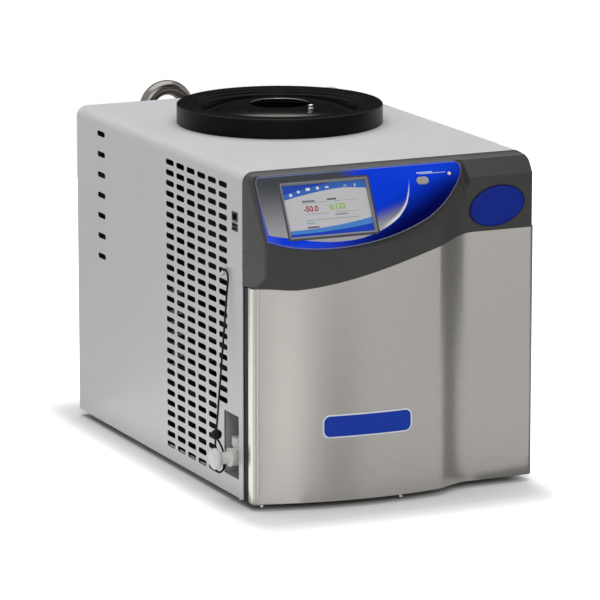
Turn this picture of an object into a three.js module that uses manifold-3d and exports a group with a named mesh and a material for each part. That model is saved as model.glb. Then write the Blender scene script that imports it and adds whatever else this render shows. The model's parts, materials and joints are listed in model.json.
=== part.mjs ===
// Benchtop freeze dryer: a folded sheet cabinet with a bowed steel front, a moulded control housing,
// a cold trap chamber under a black sealing ring, and the refrigeration set below it.
// Millimetres, +Z up, the front faces -Y. Pieces are placed in the cabinet's own coordinates, with
// X = 0 on its middle plane, Y = 0 at the front edge of its sheet and Z = 0 at its lower edge.
// The last lines move the whole so that the origin lies under the middle of its box, on the table.
import * as THREE from "three";
import { mergeGeometries, mergeVertices } from "three/addons/utils/BufferGeometryUtils.js";
import Module from "manifold-3d";

const wasm = await Module();
wasm.setup();

// ---------------------------------------------------------------- driving dimensions
const GAP = 0.3; // between pieces that touch
const CABINET = { width: 368, depth: 510.5, height: 392.3, fold: 13, sheet: 1.2 };
const LEFT = -CABINET.width / 2;
const RIGHT = CABINET.width / 2;
const REAR = CABINET.depth;
const TOP = CABINET.height;
const INNER = RIGHT - CABINET.sheet - GAP; // reach of what stands inside the folded sheet

const FOOT = { radius: 15, height: 8, inset: 34 };
const FLOOR = { sheet: 1.5, flange: 18 };
const FRAME = { sheet: 1.2, back: 10.2, front: -17, clear: 1.5 };
const LOUVRE = { x: -94, long: 120, high: 6, pitch: 14, count: 8, above: 26 };

const VENT = { length: 24, height: 6.8, taper: 0.8, rowPitch: 12.95, columnPitch: 31.46, columns: 6 };
const VENT_FIELD = { frontY: 55.4, topDrop: 23.2, bottom: 16, rearInset: 80.5, rearSlots: 7 };

const POCKET = { front: 11.5, rear: 53, bottom: 22, top: 98, depth: 34, sheet: 1 };
const NETWORK = { y: 20.8, drop: 55.8, wide: 16, high: 11, deep: 13 };
const USB = { y: 20.8, drop: 68.1, wide: 16, high: 9.6, deep: 13 };

// The steel front: a bow, a step and a flat wing, as distances in front of the cabinet's edge.
const STEEL = { sheet: 1, inset: 0.5, edge: 15.5, corner: 6.3, cornerStart: 20, wingCorner: 7, lip: 11 };
const BOW = { depth: 56, centre: -20, side: 28.785 };
const STEP = { start: 46, end: 98, wing: 32.5 };

// The control housing: how far its faces stand out and where they fold.
const HOUSING = { wall: 3, proud: 1.5, flare: 0.14, corner: 4 };
const HOUSING_BOW = { depth: 58.8, centre: -62, radius: 925 };
const HOUSING_STEP = { start: 46, end: 96, wing: 35.5, joint: 90.5, jointEnd: 95 };
const LEAN = { angle: THREE.MathUtils.degToRad(27), y: -17, drop: 7.3 };
const FACET = { foldDrop: 22.8, foldY: -36, topDrop: 4.8, topY: -20 };
const SWOOSH = { lowDrop: 133.7, highDrop: 87.5, start: -150, pullStart: -50, pullEnd: 62, end: 98 };
const UNDERCUT = { height: 24, fullTo: -172, goneBy: -134, y: -28.5 };
const RIM = { drop: 3.1, midDrop: 0.8, midShare: 0.5 };

const LENS = { thick: 2, left: 7.3, top: 4.2, bottom: -76, right: 90, corner: 9 };
const SCREEN = { x: -90.3, v: -41.1, wide: 106.6, high: 62, body: 9, bodyRim: 2 };
const SCREEN_FRAME = { border: 5, thick: 2.6, bevel: 1.8 };
const BUTTON = { x: 36.2, v: -17.9, wide: 15.6, high: 9.2, proud: 3.8, flange: 1.6, flangeDeep: 2 };
const LIGHT = { x: 72.8, v: -11.8, radius: 2.2, proud: 3 };
const BADGE = { x: 130.4, drop: 58, long: 37, short: 24.2, tilt: THREE.MathUtils.degToRad(10), thick: 1.2 };
const PLATE = { x: -47, z: 91, wide: 113, high: 28, thick: 1.2, corner: 9 };
const PANEL_PIN = { radius: 2, height: 3.2, behind: 4.5, left: 12.5, middle: 17.5, corner: 3.5, cornerY: 13.5 };

// The trap chamber and its ring.
const CHAMBER = { back: 213.5, radius: 95, wall: 1.5, flange: 119, hole: 114, floorGap: 12 };
const RING = { outer: 127.5, inner: 107, height: 24.2, ledge: 104, bore: 97.2, recess: 120.5 };
const SEAL = { inner: 93, ledge: 97.5, height: 7.3 };
const BAFFLE = { hole: 36.5, rim: 91, thick: 1.5, rise: 12.2 };
const PIN = { radius: 3.2, height: 5.5, angle: THREE.MathUtils.degToRad(-70), reach: 54.3 };
const FOAM = { wall: 26, floor: 22 };
const COIL = { tube: 9.5, turns: 4, perTurn: 16, drop: 44, above: 30, lead: 14, outletReach: 92 };

// The vacuum line behind the rear panel.
const LINE = { radius: 9.5, bore: 8, standoff: 20, elbow: 19, bend: 27.8, x: -24.9, rise: 11.5, drop: 40.3 };
const BOSS = { wall: 2, inside: 14, outside: 16 };
const SLEEVE = { radius: 13, below: 3, length: 68, grip: 32 };

// The refrigeration set.
const COMPRESSOR = { inset: 114, back: 130.5, radius: 74, bottom: 21, height: 165, stub: 5, stubTop: 195 };
const MOUNT = { wide: 176, deep: 130, thick: 3, radius: 10 };
const CONDENSER = { gap: 12, thick: 32, front: 66, long: 170, bottom: 10, high: 186 };
const FIN = { count: 8, thick: 2, tube: 4, tubeInset: 20 };
const FAN = { hole: 72, lip: 16, reach: 66, hub: 16, blade: 12, blades: 5, chord: 26, pitch: 24 };
const MOTOR = { radius: 30, long: 42, shaft: 4 };
const DRIER = { radius: 12, long: 84 };
const PIPE = 3.2;
const CAPILLARY = 2;

// The drain at the pocket.
const DRAIN = { y: 32, z: 45, barrel: 10.8, bore: 6.5, boreDeep: 14 };
const ELBOW = { x: 11, neck: 8.5, collar: 10.1, collarHigh: 10, top: 68.5, shoulder: 9, tail: 5, tailOut: 8 };
const HOSE_RADIUS = 6;
const PLUG = { stem: 6.2, stemLong: 12, flange: 11.3, flangeThick: 2.7, neck: 7.4, neckLong: 12.5 };
const KNOB = { radius: 12.8, thick: 9.5, edge: 3 };
const DRAIN_STUB = { radius: 8, bore: 5, drop: 30 };

const INLET = { x: 124, z: 96, wide: 30, high: 52, deep: 26, flange: 4, plate: 2 };
const SOCKET = { wide: 24, high: 16.5, deep: 17, z: -12, pin: 12 };
const ROCKER = { wide: 12.6, high: 18.6, z: 13, rock: THREE.MathUtils.degToRad(8), body: 5, proud: 1.6 };

// ---------------------------------------------------------------- working with solids
const WELD = 1e-3;

// Positions only, one triangle after another, so that any two geometries can be put together.
function bare(geometry) {
  const loose = geometry.index ? geometry.toNonIndexed() : geometry;
  return new THREE.BufferGeometry().setAttribute("position", loose.getAttribute("position"));
}

function solidOf(geometry) {
  const welded = mergeVertices(bare(geometry), WELD);
  const corners = welded.index.array;
  const kept = [];
  for (let i = 0; i < corners.length; i += 3) {
    const [a, b, c] = [corners[i], corners[i + 1], corners[i + 2]];
    if (a !== b && b !== c && c !== a) kept.push(a, b, c);
  }
  const vertProperties = welded.attributes.position.array;
  const triVerts = new Uint32Array(kept);
  return new wasm.Manifold(new wasm.Mesh({ numProp: 3, vertProperties, triVerts }));
}

function geometryOf(solid) {
  const mesh = solid.getMesh();
  const geometry = new THREE.BufferGeometry();
  geometry.setAttribute("position", new THREE.BufferAttribute(mesh.vertProperties, 3));
  geometry.setIndex(new THREE.BufferAttribute(mesh.triVerts, 1));
  return geometry;
}

const join = (base, ...more) => geometryOf(more.reduce((sum, g) => sum.add(solidOf(g)), solidOf(base)));
const cut = (base, ...tools) =>
  geometryOf(tools.reduce((rest, g) => rest.subtract(solidOf(g)), solidOf(base)));
const common = (base, tool) => geometryOf(solidOf(base).intersect(solidOf(tool)));
const apart = (list) => mergeGeometries(list.map(bare)); // closed bodies that don't meet, as one tool

// ---------------------------------------------------------------- outlines and simple bodies
const polygon = (radius, sides, turn = 0) =>
  Array.from({ length: sides }, (_, i) => {
    const angle = turn + (2 * Math.PI * i) / sides;
    return [radius * Math.cos(angle), radius * Math.sin(angle)];
  });

function arc(x, y, radius, from, to, steps) {
  return Array.from({ length: steps + 1 }, (_, i) => {
    const angle = from + ((to - from) * i) / steps;
    return [x + radius * Math.cos(angle), y + radius * Math.sin(angle)];
  });
}

const moved = (points, dx, dy) => points.map(([x, y]) => [x + dx, y + dy]);
const shapeOf = (points) => new THREE.Shape(points.map(([x, y]) => new THREE.Vector2(x, y)));

function roundedBox(wide, high, radius, steps = 3) {
  const [w, h, q] = [wide / 2 - radius, high / 2 - radius, Math.PI / 2];
  return [
    ...arc(w, h, radius, 0, q, steps),
    ...arc(-w, h, radius, q, 2 * q, steps),
    ...arc(-w, -h, radius, 2 * q, 3 * q, steps),
    ...arc(w, -h, radius, 3 * q, 4 * q, steps),
  ];
}

// Prisms of an outline in (x, y), (x, z) or (y, z), along the third axis from low to high.
function prismZ(points, low, high) {
  const geometry = new THREE.ExtrudeGeometry(shapeOf(points), { depth: high - low, bevelEnabled: false });
  return geometry.translate(0, 0, low);
}
const prismY = (points, low, high) => prismZ(points, -high, -low).rotateX(Math.PI / 2);
const prismX = (points, low, high) => prismZ(points, low, high).rotateX(Math.PI / 2).rotateZ(Math.PI / 2);

function block([x0, x1], [y0, y1], [z0, z1]) {
  const geometry = new THREE.BoxGeometry(x1 - x0, y1 - y0, z1 - z0);
  return geometry.translate((x0 + x1) / 2, (y0 + y1) / 2, (z0 + z1) / 2);
}

// A round bar between two points.
function bar(radius, from, to, sides = 12) {
  const [a, b] = [new THREE.Vector3(...from), new THREE.Vector3(...to)];
  const along = b.clone().sub(a);
  const up = new THREE.Vector3(0, 1, 0);
  const turn = new THREE.Quaternion().setFromUnitVectors(up, along.clone().normalize());
  const geometry = new THREE.CylinderGeometry(radius, radius, along.length(), sides);
  return geometry.applyQuaternion(turn).translate(...a.add(b).multiplyScalar(0.5).toArray());
}

// A profile of (radius, height) turned about the Z axis, given anticlockwise from its lowest outer point.
function turned(profile, sides = 32) {
  const points = profile.map(([r, z]) => new THREE.Vector2(r, z));
  return new THREE.LatheGeometry(points, sides).rotateX(Math.PI / 2);
}
const closed = (profile) => [...profile, profile[0]];

// A smooth line through points, stepped evenly from point to point so that close points give fine bends.
class Route extends THREE.CatmullRomCurve3 {
  constructor(points) {
    super(points.map((p) => new THREE.Vector3(...p)), false, "centripetal");
  }
  getPointAt(share, target) {
    return this.getPoint(share, target);
  }
  getTangentAt(share, target) {
    return this.getTangent(share, target);
  }
}

// A round section carried along such a line; with a bore it is a tube that is open at both ends.
function tube(points, radius, sides, stepsPerSpan = 1, bore = 0) {
  const shape = shapeOf(polygon(radius, sides));
  if (bore) shape.holes.push(shapeOf(polygon(bore, sides)));
  const steps = (points.length - 1) * stepsPerSpan;
  return new THREE.ExtrudeGeometry(shape, { steps, bevelEnabled: false, extrudePath: new Route(points) });
}

// Radius of a polygon's corners when its sides have to lie on a circle.
const around = (radius, sides) => radius / Math.cos(Math.PI / sides);

// A strip of sheet: an open line of points and its copy moved to the left of its direction.
function ribbon(line, thick) {
  const back = line.map(([x, y], i) => {
    const [before, after] = [line[Math.max(i - 1, 0)], line[Math.min(i + 1, line.length - 1)]];
    const [dx, dy] = [after[0] - before[0], after[1] - before[1]];
    const share = thick / Math.hypot(dx, dy);
    return [x - share * dy, y + share * dx];
  });
  return [...line, ...back.reverse()];
}

const clamp = THREE.MathUtils.clamp;
const lerp = THREE.MathUtils.lerp;
const smooth = (t) => clamp(t, 0, 1) ** 2 * (3 - 2 * clamp(t, 0, 1));
const spread = (from, to, steps) => Array.from({ length: steps + 1 }, (_, i) => lerp(from, to, i / steps));

// ---------------------------------------------------------------- the scene graph
const machine = new THREE.Group();
const FINISH = {
  paint: [0xcdcdd0, 0.42, 0.0],
  darkPaint: [0x3c3d3f, 0.55, 0.0],
  galvanised: [0xa9acae, 0.45, 0.9],
  steel: [0xaca9a4, 0.32, 1.0],
  polished: [0xb9babd, 0.14, 1.0],
  housing: [0x454648, 0.5, 0.0],
  lens: [0x0a34c4, 0.18, 0.0],
  silver: [0xa6a7ab, 0.35, 0.4],
  glass: [0xc9ccd6, 0.12, 0.0],
  grey: [0x8f9298, 0.45, 0.0],
  plate: [0x0e3aa8, 0.25, 0.0],
  rubber: [0x1b1b1d, 0.6, 0.0],
  foam: [0x33343a, 0.9, 0.0],
  copper: [0xb8704a, 0.3, 1.0],
  enamel: [0x17181a, 0.35, 0.0],
  nylon: [0xe9e9e6, 0.35, 0.0],
  cord: [0x141415, 0.7, 0.0],
  board: [0x1e5b3a, 0.5, 0.0],
  black: [0x202124, 0.45, 0.0],
  hose: [0xc9cdcf, 0.3, 0.0],
};

function add(name, geometry, [color, roughness, metalness], parent = machine) {
  const mesh = new THREE.Mesh(geometry, new THREE.MeshStandardMaterial({ color, roughness, metalness }));
  mesh.name = name;
  parent.add(mesh);
  return mesh;
}

// ---------------------------------------------------------------- cabinet
const chamberY = REAR - CHAMBER.back;

// The outline of the fold in (x, z): up the left, over the top and down the right, set in by some amount.
function foldOutline(inset, bottom) {
  const [r, x, z] = [CABINET.fold - inset, RIGHT - CABINET.fold, TOP - CABINET.fold];
  const steps = 6;
  return [
    [RIGHT - inset, bottom],
    ...arc(x, z, r, 0, Math.PI / 2, steps),
    ...arc(-x, z, r, Math.PI / 2, Math.PI, steps),
    [LEFT + inset, bottom],
  ];
}

// Centres (y, z) of the vent slots on the left side.
function ventCentres() {
  const first = TOP - VENT_FIELD.topDrop;
  const rows = Math.floor((first - VENT_FIELD.bottom) / VENT.rowPitch) + 1;
  const centres = [];
  for (let column = 0; column < VENT.columns; column++) {
    for (let row = 0; row < rows; row++) {
      const [y, z] = [VENT_FIELD.frontY + column * VENT.columnPitch, first - row * VENT.rowPitch];
      const clearOfPocket = y - VENT.length / 2 > POCKET.rear || z - VENT.height > POCKET.top;
      if (clearOfPocket) centres.push([y, z]);
    }
  }
  for (let slot = 0; slot < VENT_FIELD.rearSlots; slot++)
    centres.push([REAR - VENT_FIELD.rearInset, first - 2 * slot * VENT.rowPitch]);
  return centres;
}

function cabinetShell() {
  const outer = foldOutline(0, 0);
  const inner = foldOutline(CABINET.sheet, 0);
  const fold = prismY([...outer, ...inner.reverse()], 0, REAR);
  const [end, side] = [VENT.length / 2, VENT.height / 2];
  const flat = end - side * VENT.taper;
  const slot = [[end, 0], [flat, side], [-flat, side], [-end, 0], [-flat, -side], [flat, -side]];
  const [from, to] = [LEFT - 1, LEFT + CABINET.sheet + 1];
  const vents = ventCentres().map(([y, z]) => prismX(moved(slot, y, z), from, to));
  const window = (y, z, wide, high) =>
    block([from, to], [y - wide / 2, y + wide / 2], [z - high / 2, z + high / 2]);
  return cut(
    fold,
    apart(vents),
    block([from, to], [POCKET.front, POCKET.rear], [POCKET.bottom, POCKET.top]),
    window(NETWORK.y, TOP - NETWORK.drop, NETWORK.wide + 2 * GAP, NETWORK.high + 2 * GAP),
    window(USB.y, TOP - USB.drop, USB.wide + 2 * GAP, USB.high + 2 * GAP),
    bar(CHAMBER.hole, [0, chamberY, TOP - 5], [0, chamberY, TOP + 5], 32),
  );
}

function basePan() {
  const [front, back] = [FRAME.back + GAP, REAR - CABINET.sheet - 2 * GAP];
  const tray = block([-INNER, INNER], [front, back], [0, FLOOR.flange]);
  const t = FLOOR.sheet;
  return cut(tray, block([t - INNER, INNER - t], [front + t, back - t], [t, FLOOR.flange + 1]));
}

function rearPanel() {
  const outline = foldOutline(CABINET.sheet + GAP, GAP);
  const plate = prismY(outline, REAR - CABINET.sheet, REAR);
  const [from, to] = [REAR - CABINET.sheet - 1, REAR + 1];
  const louvre = moved(roundedBox(LOUVRE.long, LOUVRE.high, 2, 1), LOUVRE.x, FLOOR.flange + LOUVRE.above);
  const louvres = Array.from({ length: LOUVRE.count }, (_, i) =>
    prismY(moved(louvre, 0, i * LOUVRE.pitch), from, to));
  return cut(
    plate,
    apart(louvres),
    bar(LINE.radius + 3.5, [LINE.x, from, portZ], [LINE.x, to, portZ], 20),
    block([INLET.x - INLET.wide / 2 - GAP, INLET.x + INLET.wide / 2 + GAP], [from, to],
      [INLET.z - INLET.high / 2 - GAP, INLET.z + INLET.high / 2 + GAP]),
  );
}

// The dark frame behind the steel: a plate across the cabinet's mouth and a rim that reaches forward.
function frontFrame() {
  const t = FRAME.sheet;
  const plate = prismY(foldOutline(CABINET.sheet + GAP, 0), FRAME.back - t, FRAME.back);
  const side = RIGHT - STEEL.inset - STEEL.sheet - GAP;
  // The rim's top follows the lower edge of the housing.
  const rimOutline = (inset) => {
    const top = spread(inset - side, side - inset, 12).map((x) => [x, swooshZ(x) - FRAME.clear - inset]);
    return [[inset - side, inset], [side - inset, inset], ...top.reverse()];
  };
  const rim = prismY(rimOutline(0), FRAME.front, FRAME.back - t / 2);
  const hollow = prismY(rimOutline(t), FRAME.front - 1, FRAME.back - t);
  const pocketRoom = block([LEFT - 1, LEFT + POCKET.depth + 3], [POCKET.front - 3, FRAME.back + 1],
    [POCKET.bottom - 3, POCKET.top + 3]);
  return cut(join(plate, cut(rim, hollow)), pocketRoom);
}

// ---------------------------------------------------------------- front
// How far the steel's face lies in front of the cabinet's edge, as a negative y.
const steelEnd = LEFT + STEEL.inset + STEEL.corner;
const bowFlatness = (steelEnd - BOW.centre) ** 2 / (BOW.depth - BOW.side);
function steelY(x) {
  const bow = (at) => (at - BOW.centre) ** 2 / bowFlatness - BOW.depth;
  if (x <= STEP.start) return bow(x);
  const t = (x - STEP.start) / (STEP.end - STEP.start);
  return lerp(bow(STEP.start), -STEP.wing, smooth(clamp(t, 0, 1) ** 0.8));
}

// The face of the steel in plan, from its left edge round the corner, along the bow and the wing.
function steelLine(from, to) {
  const bowEnd = spread(from, STEP.start, 20);
  const step = spread(STEP.start, STEP.end, 9).slice(1);
  return [...bowEnd, ...step, to].map((x) => [x, steelY(x)]);
}

// The lower edge of the control housing in (x, z).
const swoosh = new THREE.CubicBezierCurve(
  new THREE.Vector2(SWOOSH.start, TOP - SWOOSH.lowDrop),
  new THREE.Vector2(SWOOSH.pullStart, TOP - SWOOSH.lowDrop),
  new THREE.Vector2(SWOOSH.pullEnd, TOP - SWOOSH.highDrop),
  new THREE.Vector2(SWOOSH.end, TOP - SWOOSH.highDrop),
);
function swooshZ(x) {
  let [low, high] = [0, 1];
  for (let i = 0; i < 24; i++) {
    const middle = (low + high) / 2;
    if (swoosh.getPoint(middle).x < x) low = middle;
    else high = middle;
  }
  return swoosh.getPoint(low).y;
}

function steelFrontPanel() {
  const [left, right] = [LEFT + STEEL.inset, RIGHT - STEEL.inset];
  const slope = (2 * (steelEnd - BOW.centre)) / bowFlatness; // of the bow where the left corner meets it
  const corner = new THREE.QuadraticBezierCurve(
    new THREE.Vector2(left, -STEEL.cornerStart),
    new THREE.Vector2(left, steelY(steelEnd) - slope * STEEL.corner),
    new THREE.Vector2(steelEnd, steelY(steelEnd)),
  );
  const face = steelLine(steelEnd, right - STEEL.wingCorner);
  const [r, q] = [STEEL.wingCorner, Math.PI / 2];
  const line = [
    [left, -STEEL.edge],
    ...corner.getPoints(5).slice(0, -1).map((p) => [p.x, p.y]),
    ...face.slice(0, -1),
    ...arc(right - r, r - STEP.wing, r, -q, 0, 4),
    [right, -STEEL.edge],
  ];
  const wall = prismZ(ribbon(line, STEEL.sheet), 0, TOP);
  const lip = prismZ(ribbon(face, STEEL.lip), 0, STEEL.sheet);
  const below = spread(SWOOSH.start, SWOOSH.end, 16).map((x) => [x, swooshZ(x) - GAP]);
  const [x0, x1] = [LEFT - 5, RIGHT + 5];
  const keep = [[x0, -1], [x1, -1], [x1, below.at(-1)[1]], ...below.reverse(), [x0, below.at(-1)[1]]];
  return common(join(wall, lip), prismY(keep, -BOW.depth - 9, 1));
}

function blankPlate() {
  const reach = PLATE.wide / 2 + 1;
  const line = spread(PLATE.x - reach, PLATE.x + reach, 12).map((x) => [x, steelY(x) - GAP]);
  const curved = prismZ(ribbon(line.reverse(), PLATE.thick), PLATE.z - PLATE.high, PLATE.z + PLATE.high);
  const outline = moved(roundedBox(PLATE.wide, PLATE.high, PLATE.corner, 5), PLATE.x, PLATE.z);
  return common(curved, prismY(outline, -BOW.depth - 9, 0));
}

// A push pin whose head shows below the sheet that it holds.
function panelPin([x, y]) {
  return bar(PANEL_PIN.radius, [x, y, -GAP - PANEL_PIN.height], [x, y, -GAP]);
}

// ---------------------------------------------------------------- control housing
// The front of the housing at a height, before its side corners: the leaning face or the bowed face,
// whichever lies further back, and past the joint the same with the right-hand facet.
function housingY(x, z, inset) {
  const { start, end, wing } = HOUSING_STEP;
  const bow = (at) => (at - HOUSING_BOW.centre) ** 2 / (2 * HOUSING_BOW.radius) - HOUSING_BOW.depth;
  const stepShare = smooth(clamp((x - start) / (end - start), 0, 1) ** 0.8);
  const face = x <= start ? bow(x) : lerp(bow(start), -wing, stepShare);
  const leanTop = TOP - LEAN.drop;
  const leaning = LEAN.y - (leanTop - z) * Math.tan(LEAN.angle) + inset * (1 / Math.cos(LEAN.angle) - 1);
  const slope = (FACET.topY - FACET.foldY) / (FACET.foldDrop - FACET.topDrop);
  const facet = FACET.foldY + (z - (TOP - FACET.foldDrop)) * slope + inset * (Math.hypot(1, slope) - 1);
  const left = Math.max(leaning, face);
  const right = Math.max(facet, -wing);
  const share = smooth((x - HOUSING_STEP.joint) / (HOUSING_STEP.jointEnd - HOUSING_STEP.joint));
  return lerp(left, right, share) + inset;
}

// Height at which the leaning face meets the bowed one, or the facet's fold past the joint.
function foldZ(x) {
  if (x > HOUSING_STEP.joint) return TOP - FACET.foldDrop;
  const upright = housingY(Math.min(x, HOUSING_STEP.joint), TOP - SWOOSH.highDrop - 60, 0);
  return TOP - LEAN.drop - (LEAN.y - upright) / Math.tan(LEAN.angle);
}

// One upright section of the housing for a share u of the way round from the left edge to the right.
function housingSections(inset, back) {
  const bottomAt = (x) => swooshZ(x) + inset;
  const sideX = (y) => RIGHT - inset - HOUSING.flare * -y;
  const foldIn = (z) => {
    const [r, up] = [CABINET.fold - inset, Math.max(z - (TOP - CABINET.fold), 0)];
    return r - Math.sqrt(Math.max(r * r - up * up, 0));
  };
  // Corner of the plan at a height: where the side meets the front, drawn in towards the steel low down.
  const cornerY = (z, hand) => {
    const full = housingY(hand * (RIGHT - 8), z, inset);
    if (hand > 0) return full;
    const rise = (z - bottomAt(LEFT)) / UNDERCUT.height;
    return lerp(Math.max(UNDERCUT.y + inset, full), full, smooth(rise));
  };
  const frontY = (x, z) => {
    const rise = (z - bottomAt(x)) / UNDERCUT.height;
    const reach = 1 - smooth((x - UNDERCUT.fullTo) / (UNDERCUT.goneBy - UNDERCUT.fullTo));
    const full = housingY(x, z, inset);
    return lerp(full, Math.max(full, steelY(x) - HOUSING.proud + inset), reach * (1 - smooth(rise)));
  };
  const topZ = TOP - inset;
  const levels = (x) => {
    const low = bottomAt(x);
    const fold = clamp(foldZ(x), low + UNDERCUT.height + 4, TOP - 16);
    const under = [0, 0.33, 0.67, 1].map((share) => low + UNDERCUT.height * share);
    return [...under, fold, TOP - CABINET.fold, TOP - 8.5, TOP - 5.5, TOP - RIM.drop - inset];
  };
  // Corner points follow a small round in plan; share 0 is on the side, 1 on the front.
  const cornerPoint = (z, hand, share) => {
    const y = cornerY(z, hand);
    const x = hand * (sideX(y) - foldIn(z));
    const r = HOUSING.corner;
    const inward = x - hand * r;
    const curve = new THREE.QuadraticBezierCurve(
      new THREE.Vector2(x, y + r),
      new THREE.Vector2(x, y),
      new THREE.Vector2(inward, frontY(inward, z)),
    );
    const p = curve.getPoint(share);
    return [p.x, p.y];
  };
  const sidePoint = (z, hand, share) => {
    const y = lerp(back, cornerY(z, hand) + HOUSING.corner, share);
    return [hand * (sideX(Math.min(y, 0)) - foldIn(z)), y];
  };
  const across = [
    ...spread(UNDERCUT.fullTo + 4, UNDERCUT.goneBy, 5),
    ...spread(UNDERCUT.goneBy + 14, HOUSING_STEP.start, 11),
    ...spread(HOUSING_STEP.start + 9, HOUSING_STEP.joint, 4),
    ...[HOUSING_STEP.jointEnd, 120, 145, RIGHT - 18],
  ];
  const columns = [
    ...[0, 0.5, 1].map((share) => ({ at: LEFT, plan: (z) => sidePoint(z, -1, share) })),
    ...[0.33, 0.67, 1].map((share) => ({ at: LEFT, plan: (z) => cornerPoint(z, -1, share) })),
    ...across.map((x) => ({ at: x, plan: (z) => [x, frontY(x, z)] })),
    ...[1, 0.67, 0.33].map((share) => ({ at: RIGHT, plan: (z) => cornerPoint(z, 1, share) })),
    ...[1, 0.5, 0].map((share) => ({ at: RIGHT, plan: (z) => sidePoint(z, 1, share) })),
  ];
  return columns.map(({ at, plan }) => {
    const heights = levels(at);
    const front = heights.map((z) => [...plan(z), z]);
    const [x, y, z] = front.at(-1);
    const flat = RIGHT - CABINET.fold; // half the width of the flat top
    const middleX = clamp(x, -flat - 5, flat + 5);
    front.push([lerp(x, middleX, RIM.midShare), lerp(y, back, RIM.midShare), topZ - RIM.midDrop]);
    return [...front, [clamp(x, -flat, flat), back, topZ], [plan(heights[0])[0], back, heights[0]]];
  });
}

// A closed body from sections that all have the same number of points, the first and last being flat.
function loft(sections) {
  const across = sections[0].length;
  const corners = [];
  const quad = (a, b, c, d) => corners.push(...a, ...b, ...c, ...a, ...c, ...d);
  for (let i = 0; i + 1 < sections.length; i++) {
    for (let j = 0; j < across; j++) {
      const k = (j + 1) % across;
      quad(sections[i][j], sections[i + 1][j], sections[i + 1][k], sections[i][k]);
    }
  }
  const fan = (section, turn) => {
    for (let j = 1; j + 1 < across; j++) {
      const pair = turn ? [section[j + 1], section[j]] : [section[j], section[j + 1]];
      corners.push(...section[0], ...pair[0], ...pair[1]);
    }
  };
  fan(sections[0], false);
  fan(sections.at(-1), true);
  const geometry = new THREE.BufferGeometry();
  geometry.setAttribute("position", new THREE.BufferAttribute(new Float32Array(corners), 3));
  return geometry;
}

// Controls sit on the leaning face: x across, y up the face, z straight out of it.
const facePanel = new THREE.Group();
facePanel.position.set(0, LEAN.y, TOP - LEAN.drop);
facePanel.rotation.x = Math.PI / 2 - LEAN.angle;
facePanel.updateMatrix();
machine.add(facePanel);
const onFace = (geometry) => geometry.clone().applyMatrix4(facePanel.matrix);

const oval = (wide, high, sides) => {
  const r = high / 2;
  return [
    ...arc(wide / 2 - r, 0, r, -Math.PI / 2, Math.PI / 2, sides / 2),
    ...arc(r - wide / 2, 0, r, Math.PI / 2, (3 * Math.PI) / 2, sides / 2),
  ];
};

// A rounded window round the display, wider than its picture by some amount on each side.
const displayWindow = (grow, radius, steps) =>
  moved(roundedBox(SCREEN.wide + 2 * grow, SCREEN.high + 2 * grow, radius, steps), SCREEN.x, SCREEN.v);

const buttonOval = (grow) =>
  moved(oval(BUTTON.wide + 2 * grow, BUTTON.high + 2 * grow, 12), BUTTON.x, BUTTON.v);

function controlHousing() {
  const outer = loft(housingSections(0, -GAP));
  const inner = loft(housingSections(HOUSING.wall, 2));
  const depth = HOUSING.wall + 6;
  const window = displayWindow(SCREEN.bodyRim + GAP, 1, 1);
  const button = buttonOval(GAP);
  return cut(
    outer,
    inner,
    onFace(prismZ(window, -depth, 2)),
    onFace(prismZ(button, -depth, 2)),
    onFace(bar(LIGHT.radius + GAP, [LIGHT.x, LIGHT.v, -depth], [LIGHT.x, LIGHT.v, 2])),
  );
}

// The lens: straight left and top edges, a long curve below and a round right end.
function lensOutline() {
  const [left, right, top] = [LEFT + LENS.left, LENS.right, LENS.top];
  const p = (x, y) => new THREE.Vector2(x, y);
  const [belly0, belly3] = [p(left + 1.2, LENS.bottom), p(right - 55, -64)];
  const [belly1, belly2] = [p(left + 49, LENS.bottom - 21.5), p(right - 125, LENS.bottom - 21.5)];
  const belly = new THREE.CubicBezierCurve(belly0, belly1, belly2, belly3);
  const tail = new THREE.CubicBezierCurve(belly3, p(right - 32, -52), p(right - 6, -27), p(right, -8));
  const nose = new THREE.QuadraticBezierCurve(p(right, -8), p(right + 1, top), p(right - 13, top));
  const cornerArc = arc(left + LENS.corner, top - LENS.corner, LENS.corner, Math.PI / 2, Math.PI, 4);
  const line = [...belly.getPoints(14), ...tail.getPoints(9).slice(1), ...nose.getPoints(5).slice(1)];
  return [...line.map((v) => [v.x, v.y]), ...cornerArc];
}

function controlOverlay() {
  return cut(
    prismZ(lensOutline(), GAP, GAP + LENS.thick),
    prismZ(displayWindow(SCREEN_FRAME.border + GAP, 3, 2), -1, LENS.thick + 2),
    prismZ(buttonOval(GAP), -1, LENS.thick + 2),
    bar(LIGHT.radius + GAP, [LIGHT.x, LIGHT.v, -1], [LIGHT.x, LIGHT.v, LENS.thick + 2]),
  );
}

function screenFrame() {
  const plate = prismZ(displayWindow(SCREEN_FRAME.border, 3, 2), GAP, GAP + SCREEN_FRAME.thick);
  // The opening narrows towards the display.
  const opening = new THREE.BoxGeometry(SCREEN.wide, SCREEN.high, SCREEN_FRAME.thick + 2);
  const corner = opening.getAttribute("position");
  for (let i = 0; i < corner.count; i++) {
    if (corner.getZ(i) < 0) continue;
    corner.setX(i, corner.getX(i) + Math.sign(corner.getX(i)) * SCREEN_FRAME.bevel);
    corner.setY(i, corner.getY(i) + Math.sign(corner.getY(i)) * SCREEN_FRAME.bevel);
  }
  opening.translate(SCREEN.x, SCREEN.v, GAP + SCREEN_FRAME.thick / 2);
  return cut(plate, opening);
}

const touchScreen = () => prismZ(displayWindow(SCREEN.bodyRim, 1, 1), -SCREEN.body, 0);

function runButton() {
  const cap = prismZ(buttonOval(0), -HOUSING.wall - 1, BUTTON.proud);
  const [low, high] = [-HOUSING.wall - GAP - BUTTON.flangeDeep, -HOUSING.wall - GAP];
  return join(cap, prismZ(buttonOval(BUTTON.flange), low, high));
}

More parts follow.
